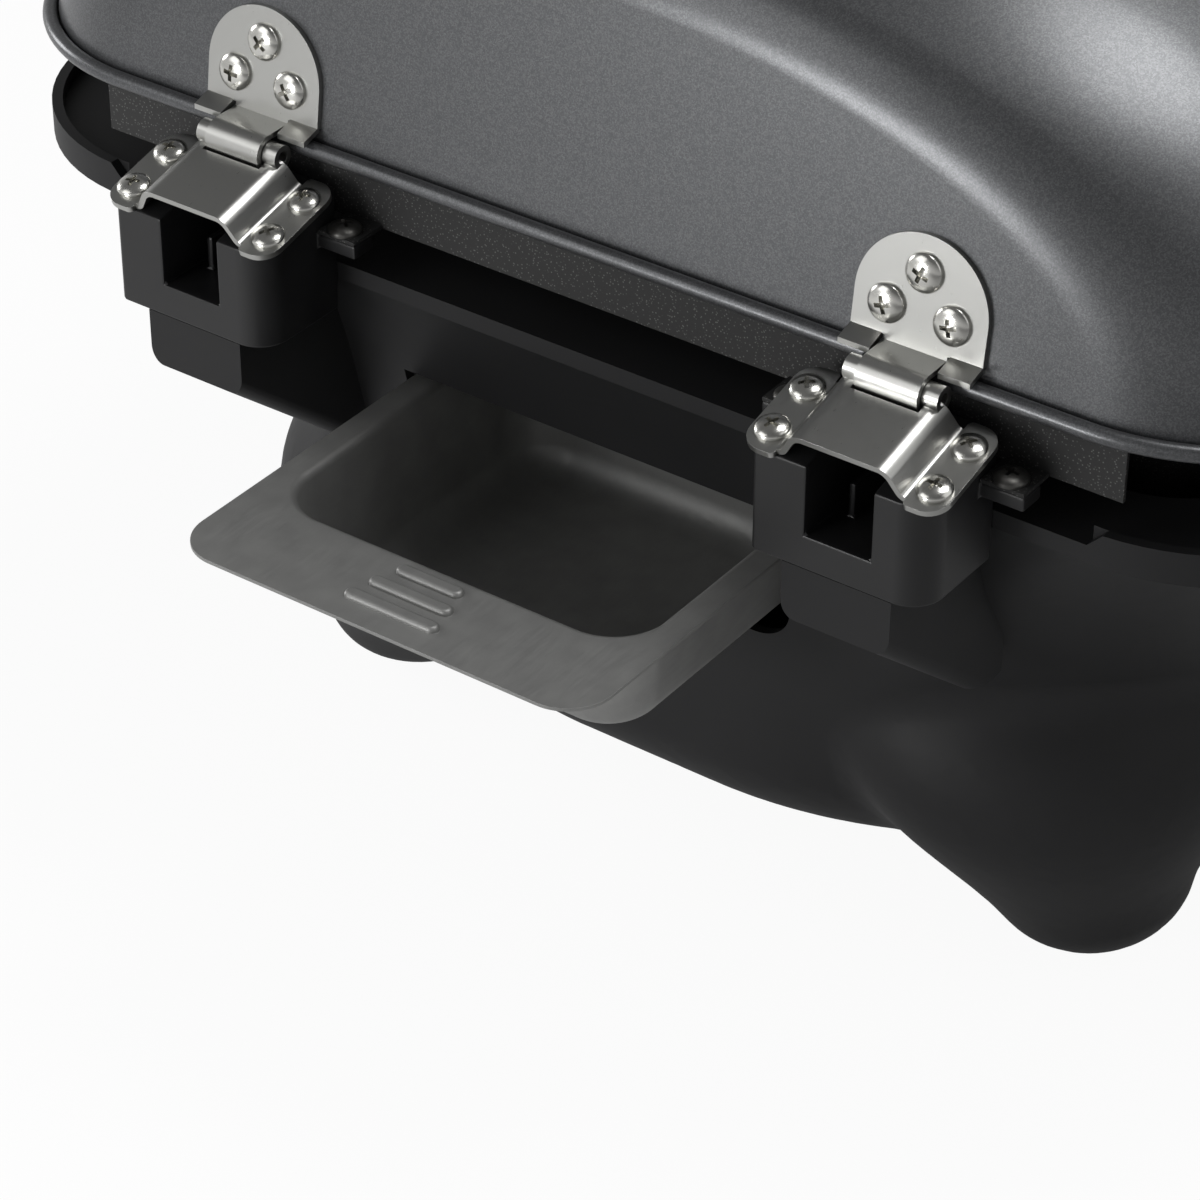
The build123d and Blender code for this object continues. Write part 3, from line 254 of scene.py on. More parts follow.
# Glass-filled nylon: black and half glossy, with a cloudy bloom and a slight roughness from the fibres.
# The fibres are drawn coarser than real ones, so that they show.
nylon = new_material("glass_filled_nylon")
place = add_node(nylon, "ShaderNodeTexCoord").outputs["Object"]
fibres = add_node(nylon, "ShaderNodeTexNoise", {"Vector": place, "Scale": 1 / nylon_fibre, "Detail": 4.0})
bloom = add_node(nylon, "ShaderNodeTexNoise", {"Vector": place, "Scale": 1 / nylon_bloom, "Detail": 3.0})
tone = add_node(
    nylon, "ShaderNodeMix",
    {mix_share: bloom.outputs["Fac"], mix_dark: linear("161617"), mix_pale: linear("1f1f20")},
    data_type="RGBA",
)
gloss = add_node(
    nylon, "ShaderNodeMapRange", {"Value": bloom.outputs["Fac"], "To Min": 0.3, "To Max": 0.46}
)
skin = add_node(
    nylon, "ShaderNodeBump",
    {"Height": fibres.outputs["Fac"], "Strength": 0.1, "Distance": nylon_fibre_depth},
)
shader = add_node(
    nylon, "ShaderNodeBsdfPrincipled",
    {
        "Base Color": tone.outputs[mix_colour], "Roughness": gloss.outputs["Result"], "IOR": 1.53,
        "Specular IOR Level": 0.4, "Normal": skin.outputs["Normal"],
    },
)
add_node(nylon, "ShaderNodeOutputMaterial", {"Surface": shader.outputs["BSDF"]})


def pick_nothing(kind):
    """Deselect all of the active piece in a selection mode, ready to select in code."""
    bpy.ops.object.mode_set(mode="EDIT")
    bpy.ops.mesh.select_mode(type=kind)
    bpy.ops.mesh.select_all(action="DESELECT")
    bpy.ops.object.mode_set(mode="OBJECT")


def pick_edges(piece, test):
    """Go into edit mode with only those edges selected whose two ends pass a test."""
    pick_nothing("EDGE")
    places = [vertex.co for vertex in piece.data.vertices]
    for edge in piece.data.edges:
        edge.select = test(*(places[end] for end in edge.vertices))
    bpy.ops.object.mode_set(mode="EDIT")


def plain_box(low, high):
    """A box between two corners, to be shaped or to cut with."""
    bpy.ops.object.select_all(action="DESELECT")
    bpy.ops.mesh.primitive_cube_add(size=1, location=(Vector(low) + Vector(high)) / 2)
    box = bpy.context.object
    box.scale = Vector(high) - Vector(low)
    bpy.ops.object.transform_apply()
    return box


def combine(piece, tool, operation):
    """Join a tool to a piece or cut it out, and remove the tool."""
    bpy.ops.object.select_all(action="DESELECT")
    piece.select_set(True)
    bpy.context.view_layer.objects.active = piece
    apply_modifier(piece, "BOOLEAN", operation=operation, solver="EXACT", object=tool)
    bpy.data.objects.remove(tool)


def at_corner(x, y):
    """A test for the upright edge of a box at one corner."""
    return lambda one, two: all(abs(end.x - x) < near_by and abs(end.y - y) < near_by for end in (one, two))


for side in ("right", "left"):
    block_low, block_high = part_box(f"hinge_block_{side}")
    middle = (block_low.x + block_high.x) / 2
    block = plain_box(
        (middle - block_half, block_low.y, block_low.z), (middle + block_half, block_high.y, block_high.z)
    )
    block.name = f"hinge_block_{side}_moulding"
    for offset, radius, steps in (
        (-block_half, block_round, block_round_steps), (block_half, block_corner, block_corner_steps),
    ):
        pick_edges(block, at_corner(middle + offset, block_high.y))
        bpy.ops.mesh.bevel(offset=radius, segments=steps)
        bpy.ops.object.mode_set(mode="OBJECT")
    bpy.ops.object.mode_set(mode="EDIT")
    bpy.ops.mesh.select_all(action="SELECT")
    bpy.ops.mesh.bisect(
        plane_co=(middle, block_low.y, block_high.z), plane_no=(0, sin(block_slope), cos(block_slope)),
        use_fill=True, clear_outer=True,
    )
    bpy.ops.object.mode_set(mode="OBJECT")
    slot_back = block_high.y - block_slot_depth
    slot_bottom = block_low.z + block_slot_floor
    opening = plain_box(
        (middle - block_slot_width / 2, slot_back, slot_bottom),
        (middle + block_slot_width / 2, block_high.y + overcut, block_high.z + overcut),
    )
    combine(block, opening, "DIFFERENCE")
    for offset in (-rib_place, rib_place):
        rib = plain_box(
            (middle + offset - rib_width / 2, slot_back - overcut, slot_bottom - overcut),
            (middle + offset + rib_width / 2, slot_back + rib_reach, slot_bottom + block_slot_floor),
        )
        combine(block, rib, "UNION")
    ear_points = [
        vertex.co for vertex in frame["nodes"][f"hinge_block_{side}"].data.vertices
        if abs(vertex.co.x - middle) > block_half + overcut
    ]
    ear_low = min(point.z for point in ear_points)
    ear_high = max(point.z for point in ear_points)
    ear_reach = max(point.y for point in ear_points)
    ear_root = block_half - ear_overlap
    for start, end in ((middle + ear_root, block_high.x), (block_low.x, middle - ear_root)):
        ear = plain_box((start, block_low.y, ear_low), (end, ear_reach, ear_high))
        combine(block, ear, "UNION")
    ease_edges(block, block_edge)
    stand_for(block, f"hinge_block_{side}", "base", nylon)

# Firebox: a tub folded from sheet steel and sprayed with heat-proof aluminium paint.
# Its rim is turned down into bands that show as a dark speckled strip under the lid.
firebox_edge = 0.35 * mm
paint_fleck = 0.9 * mm

# Heat-proof aluminium paint: dark grey and dull, with pale metal flecks.
# The flecks are drawn coarser than real ones, so that they show.
heat_paint = new_material("heat_proof_aluminium_paint")
place = add_node(heat_paint, "ShaderNodeTexCoord").outputs["Object"]
flecks = add_node(heat_paint, "ShaderNodeTexVoronoi", {"Vector": place, "Scale": 1 / paint_fleck})
bright = add_node(
    heat_paint, "ShaderNodeMapRange",
    {"Value": flecks.outputs["Distance"], "From Min": 0.05, "From Max": 0.3, "To Min": 1.0, "To Max": 0.0},
)
tone = add_node(
    heat_paint, "ShaderNodeMix",
    {mix_share: bright.outputs["Result"], mix_dark: linear("2c2c2c"), mix_pale: linear("6e6e6c")},
    data_type="RGBA",
)
shader = add_node(
    heat_paint, "ShaderNodeBsdfPrincipled",
    {"Base Color": tone.outputs[mix_colour], "Metallic": 0.4, "Roughness": 0.55},
)
add_node(heat_paint, "ShaderNodeOutputMaterial", {"Surface": shader.outputs["BSDF"]})

firebox = eased_copy("firebox", "firebox_tub", firebox_edge)
stand_for(firebox, "firebox", "base", heat_paint)

# Firebox screws: cross-head pan screws of plated steel that clamp the firebox tabs.
# Each is one turned head with a punched cross, on a shank that runs down into its ear.
tab_screw = {"head_radius": 4.6 * mm, "head_height": 2.4 * mm, "shank_radius": 2.0 * mm}
upright = Vector((0, 0, 1))
head_sides = 48
head_rings = 24
head_crease = radians(35)
first_turn = 12
turn_step = 37
# Size of the blotches in the screws' painted shade
shade_blotch_size = 3 * mm

# A face looks up or down when the upright share of its normal is beyond this
facing = 0.9

# Shares of a head's height: its upright rim, and the box that cuts an arm of the cross
rim_share = 0.2
arm_depth = 1.5

# Shares of a head's radius: the same box; the taper is what is left of its length and width at its foot
arm_length = 1.2
arm_width = 0.3
arm_taper = 0.55


def pick_faces(piece, test):
    """Go into edit mode with only those faces selected that pass a test."""
    pick_nothing("FACE")
    for face in piece.data.polygons:
        face.select = test(face)
    bpy.ops.object.mode_set(mode="EDIT")


def cross_head_screw(head_radius, head_height, shank_radius, shank_length):
    """One screw that stands on the origin, its head above and its shank below."""
    rim = rim_share * head_height
    bpy.ops.object.select_all(action="DESELECT")
    bpy.ops.mesh.primitive_uv_sphere_add(segments=head_sides, ring_count=head_rings, radius=1)
    screw = bpy.context.object
    screw.scale = (head_radius, head_radius, (1 - rim_share) * head_height)
    screw.location = (0, 0, rim)
    bpy.ops.object.transform_apply()
    bpy.ops.object.mode_set(mode="EDIT")
    bpy.ops.mesh.select_all(action="SELECT")
    bpy.ops.mesh.bisect(plane_co=(0, 0, rim), plane_no=(0, 0, 1), use_fill=True, clear_inner=True)
    bpy.ops.object.mode_set(mode="OBJECT")
    pick_faces(screw, lambda face: face.normal.z < -facing)
    bpy.ops.mesh.extrude_region_move(TRANSFORM_OT_translate={"value": (0, 0, -rim)})
    bpy.ops.mesh.inset(thickness=head_radius - shank_radius)
    bpy.ops.mesh.extrude_region_move(TRANSFORM_OT_translate={"value": (0, 0, -shank_length)})
    bpy.ops.object.mode_set(mode="OBJECT")
    for turn in (0, pi / 2):
        bpy.ops.object.select_all(action="DESELECT")
        bpy.ops.mesh.primitive_cube_add(size=1, location=(0, 0, head_height), rotation=(0, 0, turn))
        arm = bpy.context.object
        arm.scale = (arm_length * head_radius, arm_width * head_radius, arm_depth * head_height)
        bpy.ops.object.transform_apply()
        pick_faces(arm, lambda face: face.normal.z < -facing)
        bpy.ops.transform.resize(value=(arm_taper, arm_taper, 1), center_override=(0, 0, 0))
        bpy.ops.object.mode_set(mode="OBJECT")
        combine(screw, arm, "DIFFERENCE")
    bpy.ops.object.shade_smooth_by_angle(angle=head_crease)
    return screw


def solids_of(node):
    """The points of each separate solid in a node."""
    merged_copy(node, "scratch")
    bpy.ops.object.mode_set(mode="EDIT")
    bpy.ops.mesh.select_all(action="SELECT")
    bpy.ops.mesh.separate(type="LOOSE")
    bpy.ops.object.mode_set(mode="OBJECT")
    parts = [part for part in bpy.context.scene.objects if part.name.split(".")[0] == "scratch"]
    points = [[vertex.co.copy() for vertex in part.data.vertices] for part in parts]
    for part in parts:
        bpy.data.objects.remove(part)
    return points


def joined(pieces):
    """Join pieces into the first of them, which is then active."""
    bpy.ops.object.select_all(action="DESELECT")
    for piece in pieces:
        piece.select_set(True)
    bpy.context.view_layer.objects.active = pieces[0]
    bpy.ops.object.join()
    return pieces[0]


def set_of_screws(node, name, axis, head_radius, head_height, shank_radius):
    """Screws with cross heads where a node has plain ones, each turned by its own angle."""
    turn = upright.rotation_difference(axis)
    across = turn @ Vector((1, 0, 0))
    along = turn @ Vector((0, 1, 0))
    placed = []
    for number, points in enumerate(solids_of(node)):
        reach = [point.dot(axis) for point in points]
        middle = [
            (max(point.dot(way) for point in points) + min(point.dot(way) for point in points)) / 2
            for way in (across, along)
        ]
        seat = across * middle[0] + along * middle[1] + axis * (max(reach) - head_height)
        shank_length = max(reach) - min(reach) - head_height
        screw = cross_head_screw(head_radius, head_height, shank_radius, shank_length)
        spin = Quaternion(upright, radians(turn_step * number + first_turn))
        screw.data.transform(Matrix.Translation(seat) @ (turn @ spin).to_matrix().to_4x4())
        placed.append(screw)
    screws = joined(placed)
    screws.name = name
    return screws


# Plated steel with painted shade: darkened grey and half dull, standing in for the shade under the lid's
# overhang, in blotches of random tone
shade_darkened_steel = new_material("shade_darkened_plated_steel")
place = add_node(shade_darkened_steel, "ShaderNodeTexCoord").outputs["Object"]
shade_blotch = add_node(shade_darkened_steel, "ShaderNodeTexNoise", {"Vector": place, "Scale": 1 / shade_blotch_size, "Detail": 4.0})
tone = add_node(
    shade_darkened_steel, "ShaderNodeMix",
    {mix_share: shade_blotch.outputs["Fac"], mix_dark: linear("3a3937"), mix_pale: linear("7a7976")},
    data_type="RGBA",
)
shader = add_node(
    shade_darkened_steel, "ShaderNodeBsdfPrincipled",
    {"Base Color": tone.outputs[mix_colour], "Metallic": 0.9, "Roughness": 0.4},
)
add_node(shade_darkened_steel, "ShaderNodeOutputMaterial", {"Surface": shader.outputs["BSDF"]})

# The firebox screws get steel that is painted dark, as painted shade for their place under the lid's
# overhang
firebox_screws = set_of_screws("firebox_screws", "firebox_cross_screws", upright, **tab_screw)
stand_for(firebox_screws, "firebox_screws", "base", shade_darkened_steel)

# Heating element: a bent tube of nickel steel, browned by heat, in pressed saddles.
# Its ends run out through the tub wall to the terminal block.
# The block and the thermostat are moulded in phenolic plastic.
heat_tint = 18 * mm
phenolic_filler = 1.5 * mm

# Heat-browned tube: a dull metal that drifts between brown and grey along its length
hot_tube = new_material("heat_browned_tube")
place = add_node(hot_tube, "ShaderNodeTexCoord").outputs["Object"]
tint = add_node(hot_tube, "ShaderNodeTexNoise", {"Vector": place, "Scale": 1 / heat_tint, "Detail": 3.0})
tone = add_node(
    hot_tube, "ShaderNodeMix",
    {mix_share: tint.outputs["Fac"], mix_dark: linear("3f3a36"), mix_pale: linear("6b665f")},
    data_type="RGBA",
)
shader = add_node(
    hot_tube, "ShaderNodeBsdfPrincipled",
    {"Base Color": tone.outputs[mix_colour], "Metallic": 0.85, "Roughness": 0.48},
)
add_node(hot_tube, "ShaderNodeOutputMaterial", {"Surface": shader.outputs["BSDF"]})
dress("heating_element", hot_tube)

# Phenolic moulding: dark brown and hard, faintly mottled by its filler
phenolic = new_material("phenolic_moulding")
place = add_node(phenolic, "ShaderNodeTexCoord").outputs["Object"]
filler = add_node(
    phenolic, "ShaderNodeTexNoise", {"Vector": place, "Scale": 1 / phenolic_filler, "Detail": 3.0}
)
tone = add_node(
    phenolic, "ShaderNodeMix",
    {mix_share: filler.outputs["Fac"], mix_dark: linear("2a221c"), mix_pale: linear("3a3028")},
    data_type="RGBA",
)
shader = add_node(
    phenolic, "ShaderNodeBsdfPrincipled", {"Base Color": tone.outputs[mix_colour], "Roughness": 0.4}
)
add_node(phenolic, "ShaderNodeOutputMaterial", {"Surface": shader.outputs["BSDF"]})
for node in ("terminal_block", "thermostat"):
    dress(node, phenolic)

# Rails, rests and saddles: folded galvanised sheet inside the base, with a faint crystal pattern.
# Small pan screws hold the rails up against the tub floor.
zinc_spangle = 6 * mm
nickel_smear = 2 * mm

# Galvanised sheet: pale grey metal in patches of slightly different tone
galvanised = new_material("galvanised_sheet")
place = add_node(galvanised, "ShaderNodeTexCoord").outputs["Object"]
spangle = add_node(galvanised, "ShaderNodeTexVoronoi", {"Vector": place, "Scale": 1 / zinc_spangle})
tone = add_node(
    galvanised, "ShaderNodeMix",
    {mix_share: spangle.outputs["Color"], mix_dark: linear("8d9092"), mix_pale: linear("b4b6b6")},
    data_type="RGBA",
)
shader = add_node(
    galvanised, "ShaderNodeBsdfPrincipled",
    {"Base Color": tone.outputs[mix_colour], "Metallic": 1.0, "Roughness": 0.42},
)
add_node(galvanised, "ShaderNodeOutputMaterial", {"Surface": shader.outputs["BSDF"]})
for node in ("tray_rail_right", "tray_rail_left", "grate_rests", "element_saddles"):
    dress(node, galvanised)

# Nickel-plated steel: bright and slightly warm, with smears that soften the mirror here and there
nickel = new_material("nickel_plated_steel")
place = add_node(nickel, "ShaderNodeTexCoord").outputs["Object"]
smear = add_node(nickel, "ShaderNodeTexNoise", {"Vector": place, "Scale": 1 / nickel_smear, "Detail": 4.0})
gloss = add_node(
    nickel, "ShaderNodeMapRange", {"Value": smear.outputs["Fac"], "To Min": 0.14, "To Max": 0.3}
)
shader = add_node(
    nickel, "ShaderNodeBsdfPrincipled",
    {"Base Color": linear("d2d1cc"), "Metallic": 1.0, "Roughness": gloss.outputs["Result"]},
)
add_node(nickel, "ShaderNodeOutputMaterial", {"Surface": shader.outputs["BSDF"]})
dress("rail_screws", nickel)

# Cooking grate: one slotted casting of iron that lies on its rests above the element.
# It is coated in matt black enamel, which follows the cast texture and rounds the edges.
grate_edge = 0.6 * mm
cast_grain = 2 * mm
cast_grain_depth = 0.3 * mm

# Enamelled cast iron: near black, with a soft shine broken up by the sandy casting under it
enamel = new_material("enamelled_cast_iron")
place = add_node(enamel, "ShaderNodeTexCoord").outputs["Object"]
casting = add_node(enamel, "ShaderNodeTexNoise", {"Vector": place, "Scale": 1 / cast_grain, "Detail": 5.0})
tone = add_node(
    enamel, "ShaderNodeMix",
    {mix_share: casting.outputs["Fac"], mix_dark: linear("161616"), mix_pale: linear("222222")},
    data_type="RGBA",
)
skin = add_node(
    enamel, "ShaderNodeBump",
    {"Height": casting.outputs["Fac"], "Strength": 0.4, "Distance": cast_grain_depth},
)
shader = add_node(
    enamel, "ShaderNodeBsdfPrincipled",
    {"Base Color": tone.outputs[mix_colour], "Roughness": 0.38, "Normal": skin.outputs["Normal"]},
)
add_node(enamel, "ShaderNodeOutputMaterial", {"Surface": shader.outputs["BSDF"]})

grate = eased_copy("cooking_grate", "cooking_grate_casting", grate_edge)
stand_for(grate, "cooking_grate", "base", enamel)

# Drip tray: one pan drawn from tinned steel sheet, with a flange, a wide lip and three embossed ribs.
# The tin is dull and even, with fine scuffs where the tray slides and is held.
tray_edge = 0.4 * mm
tin_cloud = 9 * mm
scuff_size = (0.8 * mm, 9 * mm, 2 * mm)

# Tinned steel: a soft grey metal with cloudy tone, and fine scuffs that change its gloss
tinned = new_material("tinned_steel")
place = add_node(tinned, "ShaderNodeTexCoord").outputs["Object"]
cloud = add_node(tinned, "ShaderNodeTexNoise", {"Vector": place, "Scale": 1 / tin_cloud, "Detail": 6.0})
scuff_map = add_node(
    tinned, "ShaderNodeMapping", {"Vector": place, "Scale": [1 / length for length in scuff_size]}
)
scuff = add_node(
    tinned, "ShaderNodeTexNoise", {"Vector": scuff_map.outputs["Vector"], "Scale": 1.0, "Detail": 4.0}
)
tone = add_node(
    tinned, "ShaderNodeMix",
    {mix_share: cloud.outputs["Fac"], mix_dark: linear("818180"), mix_pale: linear("9a9a98")},
    data_type="RGBA",
)
gloss = add_node(
    tinned, "ShaderNodeMapRange", {"Value": scuff.outputs["Fac"], "To Min": 0.36, "To Max": 0.58}
)
shader = add_node(
    tinned, "ShaderNodeBsdfPrincipled",
    {"Base Color": tone.outputs[mix_colour], "Metallic": 0.55, "Roughness": gloss.outputs["Result"]},
)
add_node(tinned, "ShaderNodeOutputMaterial", {"Surface": shader.outputs["BSDF"]})

tray = eased_copy("drip_tray", "drip_tray_pan", tray_edge)
stand_for(tray, "drip_tray", "tray", tinned)

# Controls: a flat fascia on the pod, a fluted knob on its shaft, and the power inlet below.
# They are moulded in satin ABS, and four small cross-head screws hold the fascia.
fascia_edge = 0.6 * mm
knob_edge = 0.4 * mm
fascia_screw = {"head_radius": 3.6 * mm, "head_height": 2.0 * mm, "shank_radius": 1.9 * mm}
outward = Vector((0, -1, 0))
abs_grain = 0.6 * mm
abs_grain_depth = 0.1 * mm

# Satin ABS: black, with clearer highlights than the base and only a trace of grain
fascia_plastic = new_material("satin_abs")
place = add_node(fascia_plastic, "ShaderNodeTexCoord").outputs["Object"]
grain = add_node(
    fascia_plastic, "ShaderNodeTexNoise", {"Vector": place, "Scale": 1 / abs_grain, "Detail": 2.0}
)
tone = add_node(
    fascia_plastic, "ShaderNodeMix",
    {mix_share: grain.outputs["Fac"], mix_dark: linear("1a1a1b"), mix_pale: linear("202021")},
    data_type="RGBA",
)
skin = add_node(
    fascia_plastic, "ShaderNodeBump",
    {"Height": grain.outputs["Fac"], "Strength": 0.08, "Distance": abs_grain_depth},
)
shader = add_node(
    fascia_plastic, "ShaderNodeBsdfPrincipled",
    {"Base Color": tone.outputs[mix_colour], "Roughness": 0.32, "Normal": skin.outputs["Normal"]},
)
add_node(fascia_plastic, "ShaderNodeOutputMaterial", {"Surface": shader.outputs["BSDF"]})

fascia = eased_copy("control_fascia", "control_fascia_panel", fascia_edge)
stand_for(fascia, "control_fascia", "base", fascia_plastic)
knob = eased_copy("control_knob", "control_knob_moulding", knob_edge)
stand_for(knob, "control_knob", "knob", fascia_plastic)
dress("power_inlet", fascia_plastic)
dress("control_shaft", galvanised)
fascia_screws = set_of_screws("fascia_screws", "fascia_cross_screws", outward, **fascia_screw)
stand_for(fascia_screws, "fascia_screws", "base", nickel)

# Dial marks and pointer: pale ink, screened on the fascia in a ring and wiped into the knob's groove.
# The ring runs over the 270 degrees that the knob turns through, clockwise from off at the top.
knob_low, knob_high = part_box("control_knob")
knob_middle = (knob_low + knob_high) / 2
fascia_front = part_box("control_fascia")[0].y
dial_start = 0
dial_sweep = 270
dial_steps = 10
dial_ring = 21.6 * mm
mark_size = Vector((0.8, 0.2, 2.2)) * mm
pointer_size = Vector((1.5, 0.7, 15.6)) * mm
pointer_ring = 8.5 * mm
groove_depth = 0.8 * mm
ink_middle = knob_low.y + groove_depth - pointer_size.y / 2
ink_ease = 0.3
ink_film = 0.8 * mm

# Screen-printed ink: warm white and matt, slightly uneven where the film is thin
ink = new_material("screen_printed_ink")
place = add_node(ink, "ShaderNodeTexCoord").outputs["Object"]
film = add_node(ink, "ShaderNodeTexNoise", {"Vector": place, "Scale": 1 / ink_film, "Detail": 3.0})
tone = add_node(
    ink, "ShaderNodeMix",
    {mix_share: film.outputs["Fac"], mix_dark: linear("b9b6ae"), mix_pale: linear("cfccc4")},
    data_type="RGBA",
)
shader = add_node(
    ink, "ShaderNodeBsdfPrincipled", {"Base Color": tone.outputs[mix_colour], "Roughness": 0.6}
)
add_node(ink, "ShaderNodeOutputMaterial", {"Surface": shader.outputs["BSDF"]})


def printed_bar(size, front, ring, angle):
    """A thin bar with eased edges that points outwards from the knob's middle."""
    bar = plain_box(-size / 2, size / 2)
    bpy.ops.object.mode_set(mode="EDIT")
    bpy.ops.mesh.select_all(action="SELECT")
    bpy.ops.mesh.bevel(offset=ink_ease * size.y, segments=edge_steps)
    bpy.ops.object.mode_set(mode="OBJECT")
    middle = Vector((knob_middle.x, front, knob_middle.z))
    turn = Matrix.Rotation(radians(angle), 4, "Y")
    bar.data.transform(Matrix.Translation(middle) @ turn @ Matrix.Translation((0, 0, ring)))
    return bar


dial_marks = joined([
    printed_bar(mark_size, fascia_front, dial_ring, dial_start + dial_sweep * step / dial_steps)
    for step in range(dial_steps + 1)
])
dial_marks.name = "dial_marks"
pointer = printed_bar(pointer_size, ink_middle, pointer_ring, dial_start)
pointer.name = "knob_pointer"
for print_piece, body in ((dial_marks, "base"), (pointer, "knob")):
    print_piece.data.materials.append(ink)
    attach(print_piece, body)

# Indicator lens: a small cap of amber polycarbonate over the lamp that shows when the element heats.
# It is moulded with a pebbled face and pressed into the fascia.
lens_edge = 0.3 * mm
lens_pebble = 1.2 * mm
lens_pebble_depth = 0.2 * mm

# Amber polycarbonate: deep orange and glossy, its highlight scattered by the pebbles
lamp_lens = new_material("amber_polycarbonate")
place = add_node(lamp_lens, "ShaderNodeTexCoord").outputs["Object"]
pebbles = add_node(lamp_lens, "ShaderNodeTexVoronoi", {"Vector": place, "Scale": 1 / lens_pebble})
skin = add_node(
    lamp_lens, "ShaderNodeBump",
    {"Height": pebbles.outputs["Distance"], "Strength": 0.3, "Distance": lens_pebble_depth},
)
shader = add_node(
    lamp_lens, "ShaderNodeBsdfPrincipled",
    {"Base Color": linear("b4481c"), "Roughness": 0.12, "IOR": 1.58, "Normal": skin.outputs["Normal"]},
)
add_node(lamp_lens, "ShaderNodeOutputMaterial", {"Surface": shader.outputs["BSDF"]})

lens = eased_copy("indicator_lens", "indicator_lens_cap", lens_edge)
stand_for(lens, "indicator_lens", "base", lamp_lens)

# Hinge plates: stainless sheet bent to a hat section, with a rolled end that carries the lid's hook.
# The sheet has a mill finish with faint rolling lines along its length.
# Four screws hold each plate down on its sloping block.
plate_tilt = block_slope
plate_up = Vector((0, sin(plate_tilt), cos(plate_tilt)))
plate_sheet = 1.6 * mm
plate_half = 28 * mm
plate_lead = 3 * mm
plate_length = 30.8 * mm
plate_corner = 6 * mm
inner_corner = 1.4 * mm
plate_corner_steps = 8
hat_half = 13.2 * mm
hat_foot = 17 * mm
hat_rise = 6.6 * mm
hat_length = 25.7 * mm
top_bend = 2.6 * mm
foot_bend = 0.9 * mm
bend_steps = 6
plate_slot_half = 9.5 * mm
plate_slot_end = 5.7 * mm
knuckle_lift = 7.4 * mm
knuckle_radius = 3.3 * mm
knuckle_bore = 1.7 * mm
knuckle_sides = 40
sheet_round = 0.45 * mm
sheet_round_steps = 3
sheet_rim_angle = radians(50)
sheet_crease = radians(45)
rolling_size = (0.4 * mm, 2.5 * mm, 2.5 * mm)
rolling_depth = 0.05 * mm

# The hidden shanks are thinner than the solids', to stay inside the block's rounded corner
plate_screw = {**tab_screw, "shank_radius": 1.0 * mm}

# Mill-finish stainless: a pale metal with soft reflections, drawn out by fine rolling lines.
# The lines are drawn coarser than real ones, so that they show.
stainless = new_material("mill_finish_stainless")
place = add_node(stainless, "ShaderNodeTexCoord").outputs["Object"]
rolling_map = add_node(
    stainless, "ShaderNodeMapping", {"Vector": place, "Scale": [1 / length for length in rolling_size]}
)
rolling = add_node(
    stainless, "ShaderNodeTexNoise", {"Vector": rolling_map.outputs["Vector"], "Scale": 1.0, "Detail": 4.0}
)
gloss = add_node(
    stainless, "ShaderNodeMapRange", {"Value": rolling.outputs["Fac"], "To Min": 0.24, "To Max": 0.36}
)
skin = add_node(
    stainless, "ShaderNodeBump",
    {"Height": rolling.outputs["Fac"], "Strength": 0.03, "Distance": rolling_depth},
)
shader = add_node(
    stainless, "ShaderNodeBsdfPrincipled",
    {
        "Base Color": linear("b4b4b1"), "Metallic": 1.0, "Roughness": gloss.outputs["Result"],
        "Normal": skin.outputs["Normal"],
    },
)
add_node(stainless, "ShaderNodeOutputMaterial", {"Surface": shader.outputs["BSDF"]})


def pick_corners(piece, test):
    """Go into edit mode with only those corner points selected that pass a test."""
    pick_nothing("VERT")
    for vertex in piece.data.vertices:
        vertex.select = test(vertex.co)
    bpy.ops.object.mode_set(mode="EDIT")


def runs_along(line):
    """A test for edges that run along the plate at a distance from its middle."""
    return lambda one, two: one.x * two.x > 0 and all(
        abs(abs(end.x) - line) < near_by for end in (one, two)
    )


def lies_across(line):
    """A test for the flanges' edges that lie across the plate at a place along it."""
    return lambda one, two: all(
        abs(end.y - line) < near_by and abs(end.x) > hat_foot + foot_bend - near_by for end in (one, two)
    )


def beyond_hat(corner):
    """Whether a corner point lies past either end of the hat, where only the flanges are."""
    return corner.y < -near_by or corner.y > hat_length + near_by


def outer_end(corner):
    """Whether a corner point is an outer one at a flange's end."""
    return beyond_hat(corner) and abs(corner.x) > plate_half - near_by


def inner_end(corner):
    """Whether a corner point is an inner one at a flange's end."""
    return beyond_hat(corner) and abs(corner.x) < hat_foot + foot_bend + near_by


